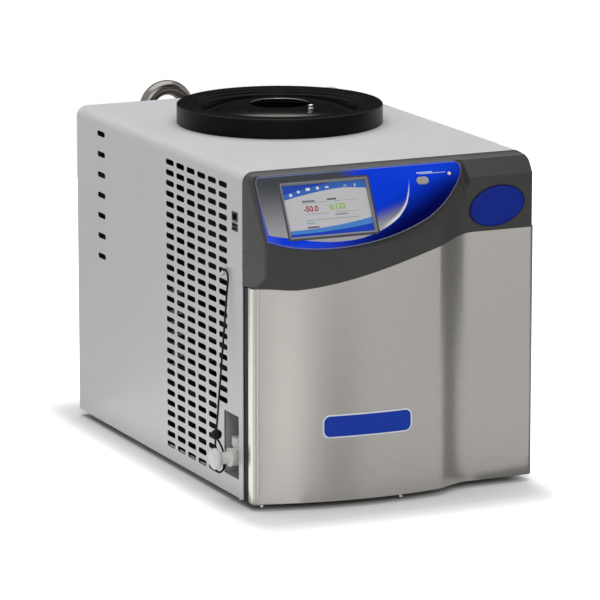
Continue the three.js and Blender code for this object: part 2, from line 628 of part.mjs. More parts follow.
function statusLight() {
  const { x, v, radius, proud } = LIGHT;
  return bar(radius, [x, v, -HOUSING.wall], [x, v, proud], 10);
}

function ovalBadge() {
  const outline = Array.from({ length: 28 }, (_, i) => {
    const a = (2 * Math.PI * i) / 28;
    const [u, v] = [BADGE.long * Math.cos(a), BADGE.short * Math.sin(a)];
    const [c, s] = [Math.cos(BADGE.tilt), Math.sin(BADGE.tilt)];
    return [BADGE.x + u * c - v * s, TOP - BADGE.drop + u * s + v * c];
  });
  const face = -HOUSING_STEP.wing - GAP;
  return prismY(outline, face - BADGE.thick, face);
}

// ---------------------------------------------------------------- chamber
const portZ = TOP - LINE.drop;

function chamberRing() {
  const { outer, inner, height, ledge, bore, recess } = RING;
  const [low, top] = [TOP + GAP, TOP + GAP + height];
  const under = low + CHAMBER.wall + GAP; // clears the chamber's flange
  return turned(closed([
    [outer, low], [outer, top - 1.5], [outer - 1.5, top], [inner, top], [inner - 0.6, top - 0.6],
    [inner - 0.6, top - 2.4], [ledge, top - 3], [ledge, top - 5.5], [bore, top - 6.2], [bore, under],
    [recess, under], [recess, low],
  ]), 40).translate(0, chamberY, 0);
}

const sealLow = TOP + GAP + CHAMBER.wall + GAP;
function chamberSeal() {
  const { inner, ledge, height } = SEAL;
  const outer = RING.bore - 3 * GAP;
  return turned(closed([
    [outer, sealLow], [outer, sealLow + height], [ledge - 3, sealLow + height], [inner, sealLow + height - 3],
    [inner, sealLow],
  ]), 32).translate(0, chamberY, 0);
}

const foamLow = COMPRESSOR.stubTop + CHAMBER.floorGap - 4;
const chamberLow = foamLow + FOAM.floor + GAP;

function collectorChamber() {
  const { radius, wall, flange } = CHAMBER;
  const [low, top] = [chamberLow, TOP + GAP + wall];
  const dish = 12;
  const outside = radius + wall;
  const shell = turned([
    [0, low], [radius - dish, low], [radius - 2, low + 4], [outside, low + dish + 4], [outside, top - wall],
    [flange, top - wall], [flange, top], [radius, top], [radius, low + dish + 4], [radius - 3, low + 5.5],
    [radius - dish, low + wall], [0, low + wall],
  ], 28);
  const stub = bar(DRAIN_STUB.radius, [0, 0, low - DRAIN_STUB.drop], [0, 0, low + wall / 2]);
  const portFar = Math.sqrt(outside ** 2 - LINE.x ** 2);
  const along = (reach) => [LINE.x, portFar + reach, portZ];
  const boss = bar(LINE.radius + BOSS.wall, along(-BOSS.inside), along(BOSS.outside), 16);
  const hollow = turned([[0, low + 6], [radius - 1, low + 6], [radius - 1, top + 1], [0, top + 1]], 28);
  const drainBore = bar(DRAIN_STUB.bore, [0, 0, low - DRAIN_STUB.drop - 1], [0, 0, low + wall + 1]);
  const portBore = bar(LINE.bore, along(-2 * BOSS.inside), along(BOSS.outside + 1), 16);
  return cut(join(shell, stub, cut(boss, hollow)), drainBore, portBore).translate(0, chamberY, 0);
}

// Domed plate: it rests in the seal and rises to its hole.
const baffleLow = sealLow + SEAL.height + GAP;
const baffleReach = BAFFLE.rim + 3; // its edge overlaps the seal
// Height of the underside at a radius.
function domeZ(r) {
  const share = (baffleReach - r) / (baffleReach - BAFFLE.hole);
  return baffleLow + BAFFLE.rise * (1 - (1 - share) ** 2);
}

function vapourBaffle() {
  const under = spread(baffleReach, BAFFLE.hole, 5).map((r) => [r, domeZ(r)]);
  const over = under.map(([r, z]) => [r, z + BAFFLE.thick]);
  return turned(closed([...over, ...under.reverse()]), 32).translate(0, chamberY, 0);
}

function bafflePin() {
  const { radius, height } = PIN;
  const low = domeZ(PIN.reach) + BAFFLE.thick + 2 * GAP;
  const high = low + height;
  const knob = turned([[0, low], [radius, low], [radius, high - 2], [radius * 0.6, high], [0, high]], 12);
  return knob.translate(PIN.reach * Math.cos(PIN.angle), chamberY + PIN.reach * Math.sin(PIN.angle), 0);
}

const coilRadius = around(CHAMBER.radius + CHAMBER.wall + GAP + COIL.tube / 2, COIL.perTurn);
// The coil winds up the chamber; its inlet drops through the foam and its outlet leaves straight to the rear.
function coilRoute() {
  const [low, high] = [chamberLow + COIL.above, TOP - COIL.drop];
  const point = (share) => {
    const turn = 2 * Math.PI * COIL.turns * (share - 1);
    return [coilRadius * Math.cos(turn), chamberY + coilRadius * Math.sin(turn), lerp(low, high, share)];
  };
  const wound = spread(0, 1, COIL.turns * COIL.perTurn).map(point);
  const inletY = chamberY - COIL.lead;
  const inlet = [
    [coilRadius, inletY, chamberLow - FOAM.floor - 8],
    [coilRadius, inletY, chamberLow],
    [coilRadius, inletY + 3, low - 10],
  ];
  const outlet = [[coilRadius, chamberY + 40, high], [coilRadius, chamberY + COIL.outletReach, high]];
  return { wound, inlet, outlet, low, high };
}

function evaporatorCoil() {
  const { wound, inlet, outlet } = coilRoute();
  return tube([...inlet, ...wound, ...outlet], COIL.tube / 2, 6);
}

function chamberInsulation() {
  const { inlet, outlet, low, high } = coilRoute();
  const inner = around(coilRadius + COIL.tube / 2 + 2 * GAP, 28);
  const outer = inner + FOAM.wall;
  const [bottom, top] = [foamLow, TOP - CABINET.sheet - GAP];
  const floor = bottom + FOAM.floor;
  const cup = turned(
    [[0, bottom], [outer, bottom], [outer, top], [inner, top], [inner, floor], [0, floor]],
    28,
  ).translate(0, chamberY, 0);
  const wallY = chamberY + inner - 12;
  const lead = COIL.tube / 2 + 3;
  return cut(
    cup,
    bar(DRAIN_STUB.radius + GAP, [0, chamberY, bottom - 1], [0, chamberY, floor + 1]),
    bar(LINE.radius + BOSS.wall + GAP, [LINE.x, wallY - 40, portZ], [LINE.x, wallY + 60, portZ], 16),
    bar(lead, [inlet[0][0], inlet[0][1], bottom - 1], [inlet[0][0], inlet[0][1], low], 10),
    bar(lead, [outlet[0][0], chamberY, high], [outlet[0][0], outlet.at(-1)[1] + 20, high], 10),
  );
}

// ---------------------------------------------------------------- vacuum line
const lineY = REAR + LINE.standoff;
const portWall = chamberY + Math.sqrt((CHAMBER.radius + CHAMBER.wall) ** 2 - LINE.x ** 2);
const portMouth = portWall + BOSS.outside + GAP;
const lineLeftX = LINE.x - 2 * LINE.bend;
const bendZ = TOP + LINE.rise - LINE.bend;
const sleeveTop = bendZ - SLEEVE.below;
const lineEnd = sleeveTop - SLEEVE.grip;

function vacuumTube() {
  const { elbow, bend } = LINE;
  const quarter = arc(lineY - elbow, portZ + elbow, elbow, -Math.PI / 2, 0, 5)
    .map(([y, z]) => [LINE.x, y, z]);
  const half = arc(LINE.x - bend, bendZ, bend, 0, Math.PI, 12).map(([x, z]) => [x, lineY, z]);
  const start = [LINE.x, portMouth, portZ];
  const end = [lineLeftX, lineY, lineEnd];
  return tube([start, ...quarter, ...half, end], LINE.radius, 12, 1, LINE.bore);
}

function hoseSleeve() {
  const top = sleeveTop;
  const low = top - SLEEVE.length;
  const seat = LINE.radius + 2 * GAP;
  return turned(closed([
    [SLEEVE.radius, low], [SLEEVE.radius, top], [seat, top],
    [seat, lineEnd - GAP], [LINE.bore, lineEnd - GAP], [LINE.bore, low],
  ]), 20).translate(lineLeftX, lineY, 0);
}

function tubeGrommet() {
  const [inner, groove, lipR, lip] = [LINE.radius + 2 * GAP, LINE.radius + 3.2, LINE.radius + 6, 2];
  const half = CABINET.sheet / 2 + GAP;
  return turned(closed([
    [lipR, -half - lip], [lipR, -half], [groove, -half], [groove, half], [lipR, half], [lipR, half + lip],
    [inner, half + lip], [inner, -half - lip],
  ]), 14).rotateX(Math.PI / 2).translate(LINE.x, REAR - CABINET.sheet / 2, portZ);
}

function vacuumSensor() {
  const y = (portMouth + REAR) / 2 + 14;
  const saddle = portZ - LINE.radius - GAP;
  const profile = [[0, -46], [14, -46], [14, -12], [6, -8], [6, 0], [0, 0]];
  return turned(profile, 16).translate(LINE.x, y, saddle);
}

// ---------------------------------------------------------------- refrigeration set
const pumpX = RIGHT - COMPRESSOR.inset;
const pumpY = REAR - COMPRESSOR.back;
const stubs = {
  suction: [pumpX + 45, pumpY + 30, COMPRESSOR.stubTop],
  discharge: [pumpX - 45, pumpY + 30, COMPRESSOR.stubTop - 17],
};

function compressorBody() {
  const { radius, bottom, height, stub } = COMPRESSOR;
  const low = bottom + MOUNT.thick;
  const side = radius - 3; // the welded seam stands out to the full radius
  const body = turned([
    [0, low - 1], [30, low - 1], [radius * 0.75, low + 8], [side, low + 28], [side, low + 88],
    [radius, low + 89], [radius, low + 94], [side, low + 95], [side - 1, height - 22],
    [radius * 0.72, height - 4], [30, height + 4], [0, height + 5],
  ], 20).translate(pumpX, pumpY, 0);
  const plate = prismZ(moved(roundedBox(MOUNT.wide, MOUNT.deep, 8, 1), pumpX, pumpY), bottom, low);
  const pipes = Object.values(stubs).map(([x, y, z]) => bar(stub, [x, y, height - 40], [x, y, z], 10));
  return join(body, plate, ...pipes);
}

function mountCorners() {
  const [dx, dy] = [MOUNT.wide / 2 - 14, MOUNT.deep / 2 - 14];
  return [[-1, -1], [1, -1], [1, 1], [-1, 1]].map(([i, j]) => [pumpX + i * dx, pumpY + j * dy]);
}

function compressorGrommet([x, y]) {
  const [low, high] = [FLOOR.sheet + GAP, COMPRESSOR.bottom - GAP];
  const { radius } = MOUNT;
  const waist = radius - 3;
  const profile = [[0, low], [radius, low], [radius, low + 6], [waist, low + 8], [waist, high], [0, high]];
  return turned(profile, 8).translate(x, y, 0);
}

function terminalCover() {
  const face = pumpY - COMPRESSOR.radius - GAP;
  return block([pumpX - 28, pumpX + 28], [face - 26, face], [70, 122]);
}

const condenserX = LEFT + CABINET.sheet + CONDENSER.gap;
const condenserRear = CONDENSER.front + CONDENSER.long;
const condenserTop = CONDENSER.bottom + CONDENSER.high;
const pipeX = condenserX + CONDENSER.thick / 2; // the pipes join behind the condenser, in its middle
const pipeY = condenserRear + 10 + GAP;
const [lowPipeZ, highPipeZ] = [CONDENSER.bottom + 15, condenserTop - 15];
function condenserBlock() {
  const { thick, front, bottom } = CONDENSER;
  const sheets = spread(bottom, condenserTop - FIN.thick, FIN.count - 1).map((z) =>
    block([condenserX, condenserX + thick], [front, condenserRear], [z, z + FIN.thick]));
  const tubes = [front + FIN.tubeInset, condenserRear - FIN.tubeInset].map((y) =>
    bar(FIN.tube, [pipeX, y, bottom - 4], [pipeX, y, condenserTop + 4], 6));
  const ends = [lowPipeZ, highPipeZ].map((z) =>
    bar(PIPE, [pipeX, condenserRear - FIN.tubeInset, z], [pipeX, pipeY - GAP, z], 8));
  return join(sheets[0], ...sheets.slice(1), ...tubes, ...ends);
}

const shroudX = condenserX + CONDENSER.thick + GAP;
const fanY = CONDENSER.front + CONDENSER.long / 2;
const fanZ = CONDENSER.bottom + CONDENSER.high / 2;
const alongX = (geometry) => geometry.rotateY(Math.PI / 2).translate(shroudX, fanY, fanZ);

function fanShroud() {
  const t = CABINET.sheet;
  const low = FLOOR.sheet + GAP;
  const plate = block([shroudX, shroudX + t], [CONDENSER.front, condenserRear], [low, condenserTop]);
  const foot = block([shroudX, shroudX + 20], [CONDENSER.front, condenserRear], [low, low + t]);
  const { hole, lip } = FAN;
  const collar = turned(closed([[hole + t, t / 2], [hole + t, lip], [hole, lip], [hole, t / 2]]), 24);
  const mouth = bar(hole, [shroudX - 1, fanY, fanZ], [shroudX + t + 1, fanY, fanZ], 24);
  return join(cut(plate, mouth), foot, alongX(collar));
}

const fanLow = 6; // from the shroud to the back of the blades
const hubHigh = fanLow + FAN.blade + 4;
const motorLow = hubHigh + 6;
function fanRotor() {
  const hub = turned([[0, fanLow], [FAN.hub, fanLow], [FAN.hub, hubHigh], [0, hubHigh]], 16);
  const long = FAN.reach - FAN.hub + 3;
  const blades = Array.from({ length: FAN.blades }, (_, i) =>
    new THREE.BoxGeometry(long, FAN.chord, 1.5)
      .rotateX(THREE.MathUtils.degToRad(FAN.pitch))
      .translate(FAN.hub - 3 + long / 2, 0, fanLow + FAN.blade / 2 + 1)
      .rotateZ((2 * Math.PI * i) / FAN.blades));
  const socket = bar(MOTOR.shaft + GAP, [0, 0, fanLow + 6], [0, 0, hubHigh + 1]);
  return alongX(cut(join(hub, ...blades), socket));
}

function fanMotor() {
  const { radius, long, shaft } = MOTOR;
  const [tip, far] = [fanLow + 7, motorLow + long];
  const profile = [
    [0, tip], [shaft, tip], [shaft, motorLow], [radius, motorLow],
    [radius, far - 6], [radius - 6, far], [0, far],
  ];
  return alongX(turned(profile, 20));
}

function fanBracket() {
  const [inner, outer] = [MOTOR.radius + GAP, MOTOR.radius + 3];
  const [low, high] = [motorLow + 12, motorLow + 22];
  const collar = turned(closed([[outer, low], [outer, high], [inner, high], [inner, low]]), 20);
  const arms = [0, 1, 2].map((i) => {
    const reach = FAN.hole + 8;
    const arm = block([outer - 1, reach], [-5, 5], [low, low + 3]);
    const leg = block([reach - 3, reach], [-5, 5], [CABINET.sheet + GAP, low + 3]);
    return join(arm, leg).rotateZ((2 * Math.PI * i) / 3 + Math.PI / 6);
  });
  return alongX(join(collar, ...arms));
}

function filterDrier() {
  const { radius, long } = DRIER;
  const profile = [
    [0, 0], [PIPE, 0], [PIPE, 8], [radius, 16],
    [radius, long - 16], [PIPE, long - 8], [PIPE, long], [0, long],
  ];
  return turned(profile, 16).rotateX(-Math.PI / 2).translate(pipeX, pipeY, lowPipeZ);
}

function capillaryTube() {
  const [x, y, z] = coilRoute().inlet[0];
  const [startY, startZ] = [pipeY + DRIER.long + GAP, lowPipeZ];
  return tube([
    [pipeX, startY, startZ],
    [pipeX, startY + 18, startZ],
    [pipeX + 16, startY + 34, startZ + 20],
    [-60, startY + 20, 120],
    [x - 90, y - 30, 168],
    [x - 14, y - 12, 172],
    [x, y, z - 16],
    [x, y, z - GAP],
  ], CAPILLARY, 6, 3);
}

function suctionLine() {
  const { outlet, high } = coilRoute();
  const [x, y] = outlet.at(-1);
  const [endX, endY, endZ] = stubs.suction;
  return tube([
    [x, y + GAP, high],
    [x, y + 8, high],
    [lerp(x, endX, 0.3), y + 22, high - 8],
    [lerp(x, endX, 0.7), endY, high - 32],
    [endX, endY, high - 62],
    [endX, endY, endZ + 50],
    [endX, endY, endZ + GAP],
  ], COIL.tube / 2 - GAP, 6, 3);
}

function dischargeLine() {
  const [x, y, top] = stubs.discharge;
  return tube([
    [x, y, top + GAP],
    [x, y, top + 5],
    [x - 4, y + 2, top + 13],
    [x - 14, y + 6, top + 16],
    [x - 40, y + 8, top + 14],
    [-90, y, top + 9],
    [pipeX + 4, pipeY + 90, top + 4],
    [pipeX, pipeY + 40, highPipeZ + 2],
    [pipeX, pipeY + 14, highPipeZ],
    [pipeX, pipeY, highPipeZ],
  ], PIPE, 6, 3);
}

// ---------------------------------------------------------------- drain
const pocketBack = LEFT + CABINET.sheet + GAP + POCKET.depth;
const plugSeat = LEFT - 1; // the elbow's face, just proud of the side
const tailEnd = pocketBack + ELBOW.tailOut;
// A round bar on the drain's own axis.
const drainBar = (radius, from, to, sides = 16) =>
  bar(radius, [from, DRAIN.y, DRAIN.z], [to, DRAIN.y, DRAIN.z], sides);

function drainPocket() {
  const t = POCKET.sheet;
  const [front, rear, bottom, top] = [POCKET.front - t, POCKET.rear + t, POCKET.bottom - t, POCKET.top + t];
  const mouth = LEFT + CABINET.sheet + GAP;
  const box = block([mouth, pocketBack], [front, rear], [bottom, top]);
  const rim = block([mouth, mouth + t], [front, rear + 6], [bottom, top + 6]);
  const inside = block([mouth - 1, pocketBack - t], [POCKET.front, POCKET.rear], [POCKET.bottom, POCKET.top]);
  const tailHole = drainBar(ELBOW.tail + GAP, pocketBack - 2 * t, pocketBack + t);
  return cut(join(box, rim), inside, tailHole);
}

// The fitting: a barrel for the plug, a closed riser with a collar, and a tail that passes through the
// pocket's back wall to the hose, with a shoulder against that wall.
function drainElbow() {
  const { barrel, bore, boreDeep } = DRAIN;
  const { neck, collar, collarHigh, top, shoulder, tail } = ELBOW;
  const x = LEFT + ELBOW.x;
  const riser = (radius, from, to) => bar(radius, [x, DRAIN.y, from], [x, DRAIN.y, to], 16);
  const wall = pocketBack - POCKET.sheet - GAP;
  const body = join(
    drainBar(barrel, plugSeat, x + 4),
    drainBar(barrel - 2, x + 3, x + 10),
    riser(neck, DRAIN.z, top - 2),
    riser(collar, top - collarHigh, top),
    drainBar(tail, x + 9, tailEnd, 12),
    drainBar(shoulder, wall - 3, wall),
  );
  return cut(body, drainBar(bore, plugSeat - 1, plugSeat + boreDeep, 14));
}

// The plug: a stem in the elbow's bore, a flange against its face, a neck for the tether and a round
// knob to pull on.
function drainPlug() {
  const { stem, stemLong, flange, flangeThick: a, neck, neckLong } = PLUG;
  const { radius, thick, edge } = KNOB;
  const b = a + neckLong;
  const far = b + thick;
  const profile = [
    [0, -stemLong], [stem, -stemLong], [stem, 0], [flange, 0], [flange, a], [neck, a + 1], [neck, b - 1],
    [radius - edge, b], [radius, b + edge], [radius, far - edge], [radius - edge, far], [0, far],
  ];
  return turned(profile, 18).rotateY(-Math.PI / 2).translate(plugSeat - GAP, DRAIN.y, DRAIN.z);
}

function drainHose() {
  const { y, z } = DRAIN;
  const stubLow = chamberLow - DRAIN_STUB.drop - GAP;
  return tube([
    [tailEnd + GAP, y, z],
    [pocketBack + 22, y, z],
    [pocketBack + 34, y + 2, z + 9],
    [pocketBack + 38, y + 4, z + 35],
    [pocketBack + 38, y + 8, z + 70],
    [-85, y + 18, z + 95],
    [-45, y + 68, z + 105],
    [-26, y + 158, z + 119],
    [-8, chamberY - 18, stubLow - 22],
    [0, chamberY, stubLow - 10],
    [0, chamberY, stubLow],
  ], HOSE_RADIUS, 8, 3);
}

// ---------------------------------------------------------------- tether of the plug
const TETHER = 1.2; // radius of the cord
const CLIP = { row: 8, inset: 2.7, stem: 1.4, flange: 3.4, plate: 1, neck: 3, knob: 2.6 };
const BALL = { out: 15, back: 10, up: 27, radius: 6.5 };
const clipY = VENT_FIELD.frontY - VENT.length / 2 + CLIP.inset;
const clipZ = TOP - VENT_FIELD.topDrop - CLIP.row * VENT.rowPitch;
const ball = [LEFT - BALL.out, DRAIN.y + BALL.back, DRAIN.z + BALL.up];

// The drop loops over the clip's neck, then leans out to the ball. Each point is a distance out of the
// side, one back from the clip and one up from it; the last part runs in shares of the way to the ball.
function tetherDrop() {
  const out = GAP + CLIP.plate + CLIP.neck / 2;
  const hook = [
    [out, 3.3, -4],
    [out, 3.4, 0],
    [out, 0.3, 3.6],
    [out, -5.6, 3.7],
    [out, -10.6, -1],
    [out + 0.2, -11.6, -8.5],
  ];
  const start = [LEFT - out - 0.8, clipY - 10.6, clipZ - 18.5];
  const end = [ball[0], ball[1], ball[2] + BALL.radius + GAP];
  const hanging = [0, 0.12, 0.3, 0.5, 0.7, 0.86, 1].map((share) =>
    start.map((from, i) => lerp(from, end[i], share)));
  const round = hook.map(([x, y, z]) => [LEFT - x, clipY + y, clipZ + z]);
  return tube([...round, ...hanging], TETHER, 8, 2);
}

// The loop leaves the ball below, passes behind the plug's neck in two strands and turns round under
// it. Each point is a distance out from the ball, one back from it and one up from it.
function tetherLoop() {
  const top = BALL.radius + GAP;
  const strand = [[1.4, 0, -top], [1, 1.6, -13], [0.4, 3.2, -22], [0.3, 3.2, -33], [0.3, 3, -42]];
  const turn = [[-1.25, 2.6, -45.75], [-5, 2.4, -47.3], [-8.75, 2.6, -45.75]];
  const other = [[-10.3, 3, -42], [-10.3, 3.2, -33], [-9.5, 3.2, -22], [-5.5, 1.6, -13], [-1.6, 0, -top]];
  const points = [...strand, ...turn, ...other].map(([x, y, z]) => [ball[0] - x, ball[1] + y, ball[2] + z]);
  return tube(points, TETHER, 8, 3);
}

function tetherClip() {
  const { stem, flange, plate, neck, knob } = CLIP;
  const behind = -CABINET.sheet - GAP;
  const front = GAP + plate + neck;
  const profile = [
    [0, behind - plate], [flange - 0.4, behind - plate], [flange - 0.4, behind], [stem, behind], [stem, GAP],
    [flange, GAP], [flange, GAP + plate], [stem, GAP + plate], [stem, front], [knob, front],
    [knob, front + plate], [0, front + plate],
  ];
  return turned(profile, 12).rotateY(-Math.PI / 2).translate(LEFT, clipY, clipZ);
}

// ---------------------------------------------------------------- sockets, power and boards
function sidePort(size, z, cavities) {
  const { y, wide, high, deep } = size;
  const face = LEFT - 0.6;
  const body = block([face, face + deep], [y - wide / 2, y + wide / 2], [z - high / 2, z + high / 2]);
  const holes = cavities.map(({ at, w, h }) =>
    block([face - 1, face + deep - 3], [y - w / 2, y + w / 2], [z + at - h / 2, z + at + h / 2]));
  return cut(body, ...holes);
}

function powerInlet() {
  const { x, z, wide, high, deep, flange, plate } = INLET;
  const face = REAR + GAP;
  const body = block([x - wide / 2, x + wide / 2], [face - deep, face + plate], [z - high / 2, z + high / 2]);
  const rim = block([x - wide / 2 - flange, x + wide / 2 + flange], [face, face + plate],
    [z - high / 2 - flange, z + high / 2 + flange]);
  const mouth = face + plate + 1;
  const socket = block([x - SOCKET.wide / 2, x + SOCKET.wide / 2], [face + plate - SOCKET.deep, mouth],
    [z + SOCKET.z - SOCKET.high / 2, z + SOCKET.z + SOCKET.high / 2]);
  const [w, h] = [ROCKER.wide / 2 + GAP, ROCKER.high / 2 + 0.5];
  const well = block([x - w, x + w], [face - ROCKER.body - 5, mouth], [z + ROCKER.z - h, z + ROCKER.z + h]);
  const pins = [-7, 0, 7].map((dx) => {
    const [back, up] = [face + plate - SOCKET.deep, z + SOCKET.z + (dx ? -2 : 3)];
    return block([x + dx - 1, x + dx + 1], [back - 1, back + SOCKET.pin], [up - 3, up + 3]);
  });
  return join(cut(join(body, rim), socket, well), ...pins);
}

// The rocker: a shallow vee seen from the side, resting with its lower half pressed in.
const rockerY = REAR - 1;
function powerSwitch() {
  const h = ROCKER.high / 2;
  const out = ROCKER.proud + GAP + INLET.plate + 1;
  const rise = h * Math.tan(ROCKER.rock);
  const side = [[-ROCKER.body, -h + 3], [out + rise, -h], [out, 0], [out + rise, h], [-ROCKER.body, h - 3]];
  const rocker = prismX(side, -ROCKER.wide / 2, ROCKER.wide / 2).rotateX(-ROCKER.rock);
  return rocker.translate(INLET.x, rockerY, INLET.z + ROCKER.z);
}

function controlBoard() {
  const y = FRAME.back - FRAME.sheet - GAP - 6;
  const board = block([-150, 0], [y - 1.6, y], [TOP - 108, TOP - 24]);
  const posts = [[-142, -100], [-8, -100], [-8, -32], [-142, -32]].map(([x, dz]) =>
    bar(3, [x, y - 1, TOP + dz], [x, y + 6, TOP + dz], 8));
  // The components on the board: middle across and up, width, height and how far they stand out.
  const parts = [
    [-120, -84, 30, 22, 6],
    [-70, -60, 22, 22, 3],
    [-30, -86, 26, 14, 10],
    [-110, -50, 18, 26, 8],
  ].map(([x, dz, w, h, d]) =>
    block([x - w / 2, x + w / 2], [y - 1 - d, y - 1], [TOP + dz - h / 2, TOP + dz + h / 2]));
  return join(board, ...posts, ...parts);
}

function powerSupply() {
  const [front, low] = [FRAME.back + GAP + FLOOR.sheet + 20, FLOOR.sheet + GAP];
  return block([RIGHT - 130, RIGHT - 24], [front, front + 98], [low, low + 44]);
}

function foot(x, y) {
  const { radius, height } = FOOT;
  const profile = [[0, -height], [radius - 2, -height], [radius, 2 - height], [radius, -GAP], [0, -GAP]];
  return turned(profile, 14).translate(x, y, 0);
}

// ---------------------------------------------------------------- assembly
add("cabinet_shell", cabinetShell(), FINISH.paint);
add("base_pan", basePan(), FINISH.galvanised);
add("rear_panel", rearPanel(), FINISH.paint);
add("front_frame", frontFrame(), FINISH.darkPaint);
add("steel_front_panel", steelFrontPanel(), FINISH.steel);
add("blank_plate", blankPlate(), FINISH.plate);
const panelPins = [
  ...[LEFT + PANEL_PIN.left, BOW.centre + PANEL_PIN.middle].map((x) => [x, steelY(x) + PANEL_PIN.behind]),
  [LEFT + PANEL_PIN.corner, PANEL_PIN.cornerY],
];
panelPins.forEach((at, i) => add(`panel_pin_${i + 1}`, panelPin(at), FINISH.nylon));

add("control_housing", controlHousing(), FINISH.housing);
add("control_overlay", controlOverlay(), FINISH.lens, facePanel);
add("screen_frame", screenFrame(), FINISH.silver, facePanel);
add("touch_screen", touchScreen(), FINISH.glass, facePanel);
add("run_button", runButton(), FINISH.grey, facePanel);
add("status_light", statusLight(), FINISH.nylon, facePanel);
add("oval_badge", ovalBadge(), FINISH.plate);

add("chamber_ring", chamberRing(), FINISH.rubber);
add("chamber_seal", chamberSeal(), FINISH.rubber);
add("collector_chamber", collectorChamber(), FINISH.polished);
add("vapour_baffle", vapourBaffle(), FINISH.polished);
add("baffle_pin", bafflePin(), FINISH.polished);
add("chamber_insulation", chamberInsulation(), FINISH.foam);
add("evaporator_coil", evaporatorCoil(), FINISH.copper);

add("vacuum_tube", vacuumTube(), FINISH.polished);
add("hose_sleeve", hoseSleeve(), FINISH.rubber);
add("tube_grommet", tubeGrommet(), FINISH.rubber);
add("vacuum_sensor", vacuumSensor(), FINISH.galvanised);

add("compressor", compressorBody(), FINISH.enamel);
mountCorners().forEach((corner, i) =>
  add(`compressor_grommet_${i + 1}`, compressorGrommet(corner), FINISH.rubber));
add("terminal_cover", terminalCover(), FINISH.black);
add("condenser", condenserBlock(), FINISH.galvanised);
add("fan_shroud", fanShroud(), FINISH.galvanised);
add("fan_bracket", fanBracket(), FINISH.galvanised);
add("fan_motor", fanMotor(), FINISH.enamel);
add("fan_rotor", fanRotor(), FINISH.black);
add("filter_drier", filterDrier(), FINISH.copper);
add("capillary_tube", capillaryTube(), FINISH.copper);
add("suction_line", suctionLine(), FINISH.copper);
add("discharge_line", dischargeLine(), FINISH.copper);

add("drain_pocket", drainPocket(), FINISH.darkPaint);
add("drain_elbow", drainElbow(), FINISH.nylon);
add("drain_plug", drainPlug(), FINISH.nylon);
add("drain_hose", drainHose(), FINISH.hose);
add("tether_drop", tetherDrop(), FINISH.cord);
add("tether_loop", tetherLoop(), FINISH.cord);
add("tether_ball", new THREE.SphereGeometry(BALL.radius, 14, 10).translate(...ball), FINISH.cord);
add("tether_clip", tetherClip(), FINISH.nylon);

add("network_port", sidePort(NETWORK, TOP - NETWORK.drop, [{ at: 0, w: 12, h: 7.6 }]), FINISH.black);
const usbSlots = [2.1, -2.1].map((at) => ({ at, w: 12.6, h: 2.6 }));
add("usb_port", sidePort(USB, TOP - USB.drop, usbSlots), FINISH.black);
add("control_board", controlBoard(), FINISH.board);
add("power_supply", powerSupply(), FINISH.galvanised);
add("power_inlet", powerInlet(), FINISH.black);
add("power_switch", powerSwitch(), FINISH.black);

const { inset } = FOOT;
[[-1, inset], [1, inset], [1, REAR - inset], [-1, REAR - inset]].forEach(([hand, y], i) =>
  add(`foot_${i + 1}`, foot(hand * (RIGHT - inset), y), FINISH.rubber));

// The object's reaches, for the origin under the middle of its box: the drain plug on the left, the
// folded sheet on the right, the lens's lowest point in front and the hose sleeve behind.
const reachLeft = plugSeat - GAP - PLUG.flangeThick - PLUG.neckLong - KNOB.thick;
const reachRear = lineY + SLEEVE.radius;
const lensLow = Math.min(...lensOutline().map(([, v]) => v));
const reachFront = LEAN.y + lensLow * Math.sin(LEAN.angle) - (GAP + LENS.thick) * Math.cos(LEAN.angle);
machine.position.set(-(reachLeft + RIGHT) / 2, -(reachRear + reachFront) / 2, FOOT.height);

export default machine;
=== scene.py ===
import json
import math

import bmesh
import bpy
import numpy as np
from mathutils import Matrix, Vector

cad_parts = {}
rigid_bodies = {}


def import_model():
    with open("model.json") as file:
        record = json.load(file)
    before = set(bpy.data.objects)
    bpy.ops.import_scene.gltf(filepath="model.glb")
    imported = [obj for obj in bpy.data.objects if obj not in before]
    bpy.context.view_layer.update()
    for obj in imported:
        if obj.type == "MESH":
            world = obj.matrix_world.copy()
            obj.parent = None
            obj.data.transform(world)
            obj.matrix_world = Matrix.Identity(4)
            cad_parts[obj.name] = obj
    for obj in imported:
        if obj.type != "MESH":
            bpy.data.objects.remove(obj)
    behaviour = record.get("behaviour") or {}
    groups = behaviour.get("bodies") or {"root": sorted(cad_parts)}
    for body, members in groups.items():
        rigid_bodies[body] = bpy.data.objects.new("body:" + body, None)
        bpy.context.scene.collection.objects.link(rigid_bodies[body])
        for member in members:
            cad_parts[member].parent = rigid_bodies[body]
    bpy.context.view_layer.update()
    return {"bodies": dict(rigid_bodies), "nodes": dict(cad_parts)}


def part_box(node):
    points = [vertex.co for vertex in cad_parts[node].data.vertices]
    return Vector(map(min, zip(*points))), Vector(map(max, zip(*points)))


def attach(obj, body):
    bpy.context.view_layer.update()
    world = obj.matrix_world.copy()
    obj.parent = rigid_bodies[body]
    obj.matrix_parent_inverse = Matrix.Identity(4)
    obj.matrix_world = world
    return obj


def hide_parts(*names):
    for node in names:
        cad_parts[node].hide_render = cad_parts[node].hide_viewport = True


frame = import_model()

# Benchtop freeze dryer. Shapes are worked out in millimetres in the cabinet's own coordinates:
# X = 0 on its middle plane, Y = 0 at the front edge of the sheet, Z = 0 at its lower edge.
NODES = frame["nodes"]
LEFT, RIGHT, REAR, TOP = -184.0, 184.0, 510.5, 392.3
SHIFT = np.array(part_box("cabinet_shell")[0]) * 1000 - (LEFT, 0, 0)
GAP = 0.3
PI = math.pi


def at(point):
    """A point in cabinet millimetres as a place in the row frame, in metres."""
    return Vector((np.array(point, float) + SHIFT) / 1000)


def placed(name, data):
    """A new object in the scene, with its data."""
    made = bpy.data.objects.new(name, data)
    bpy.context.collection.objects.link(made)
    return made


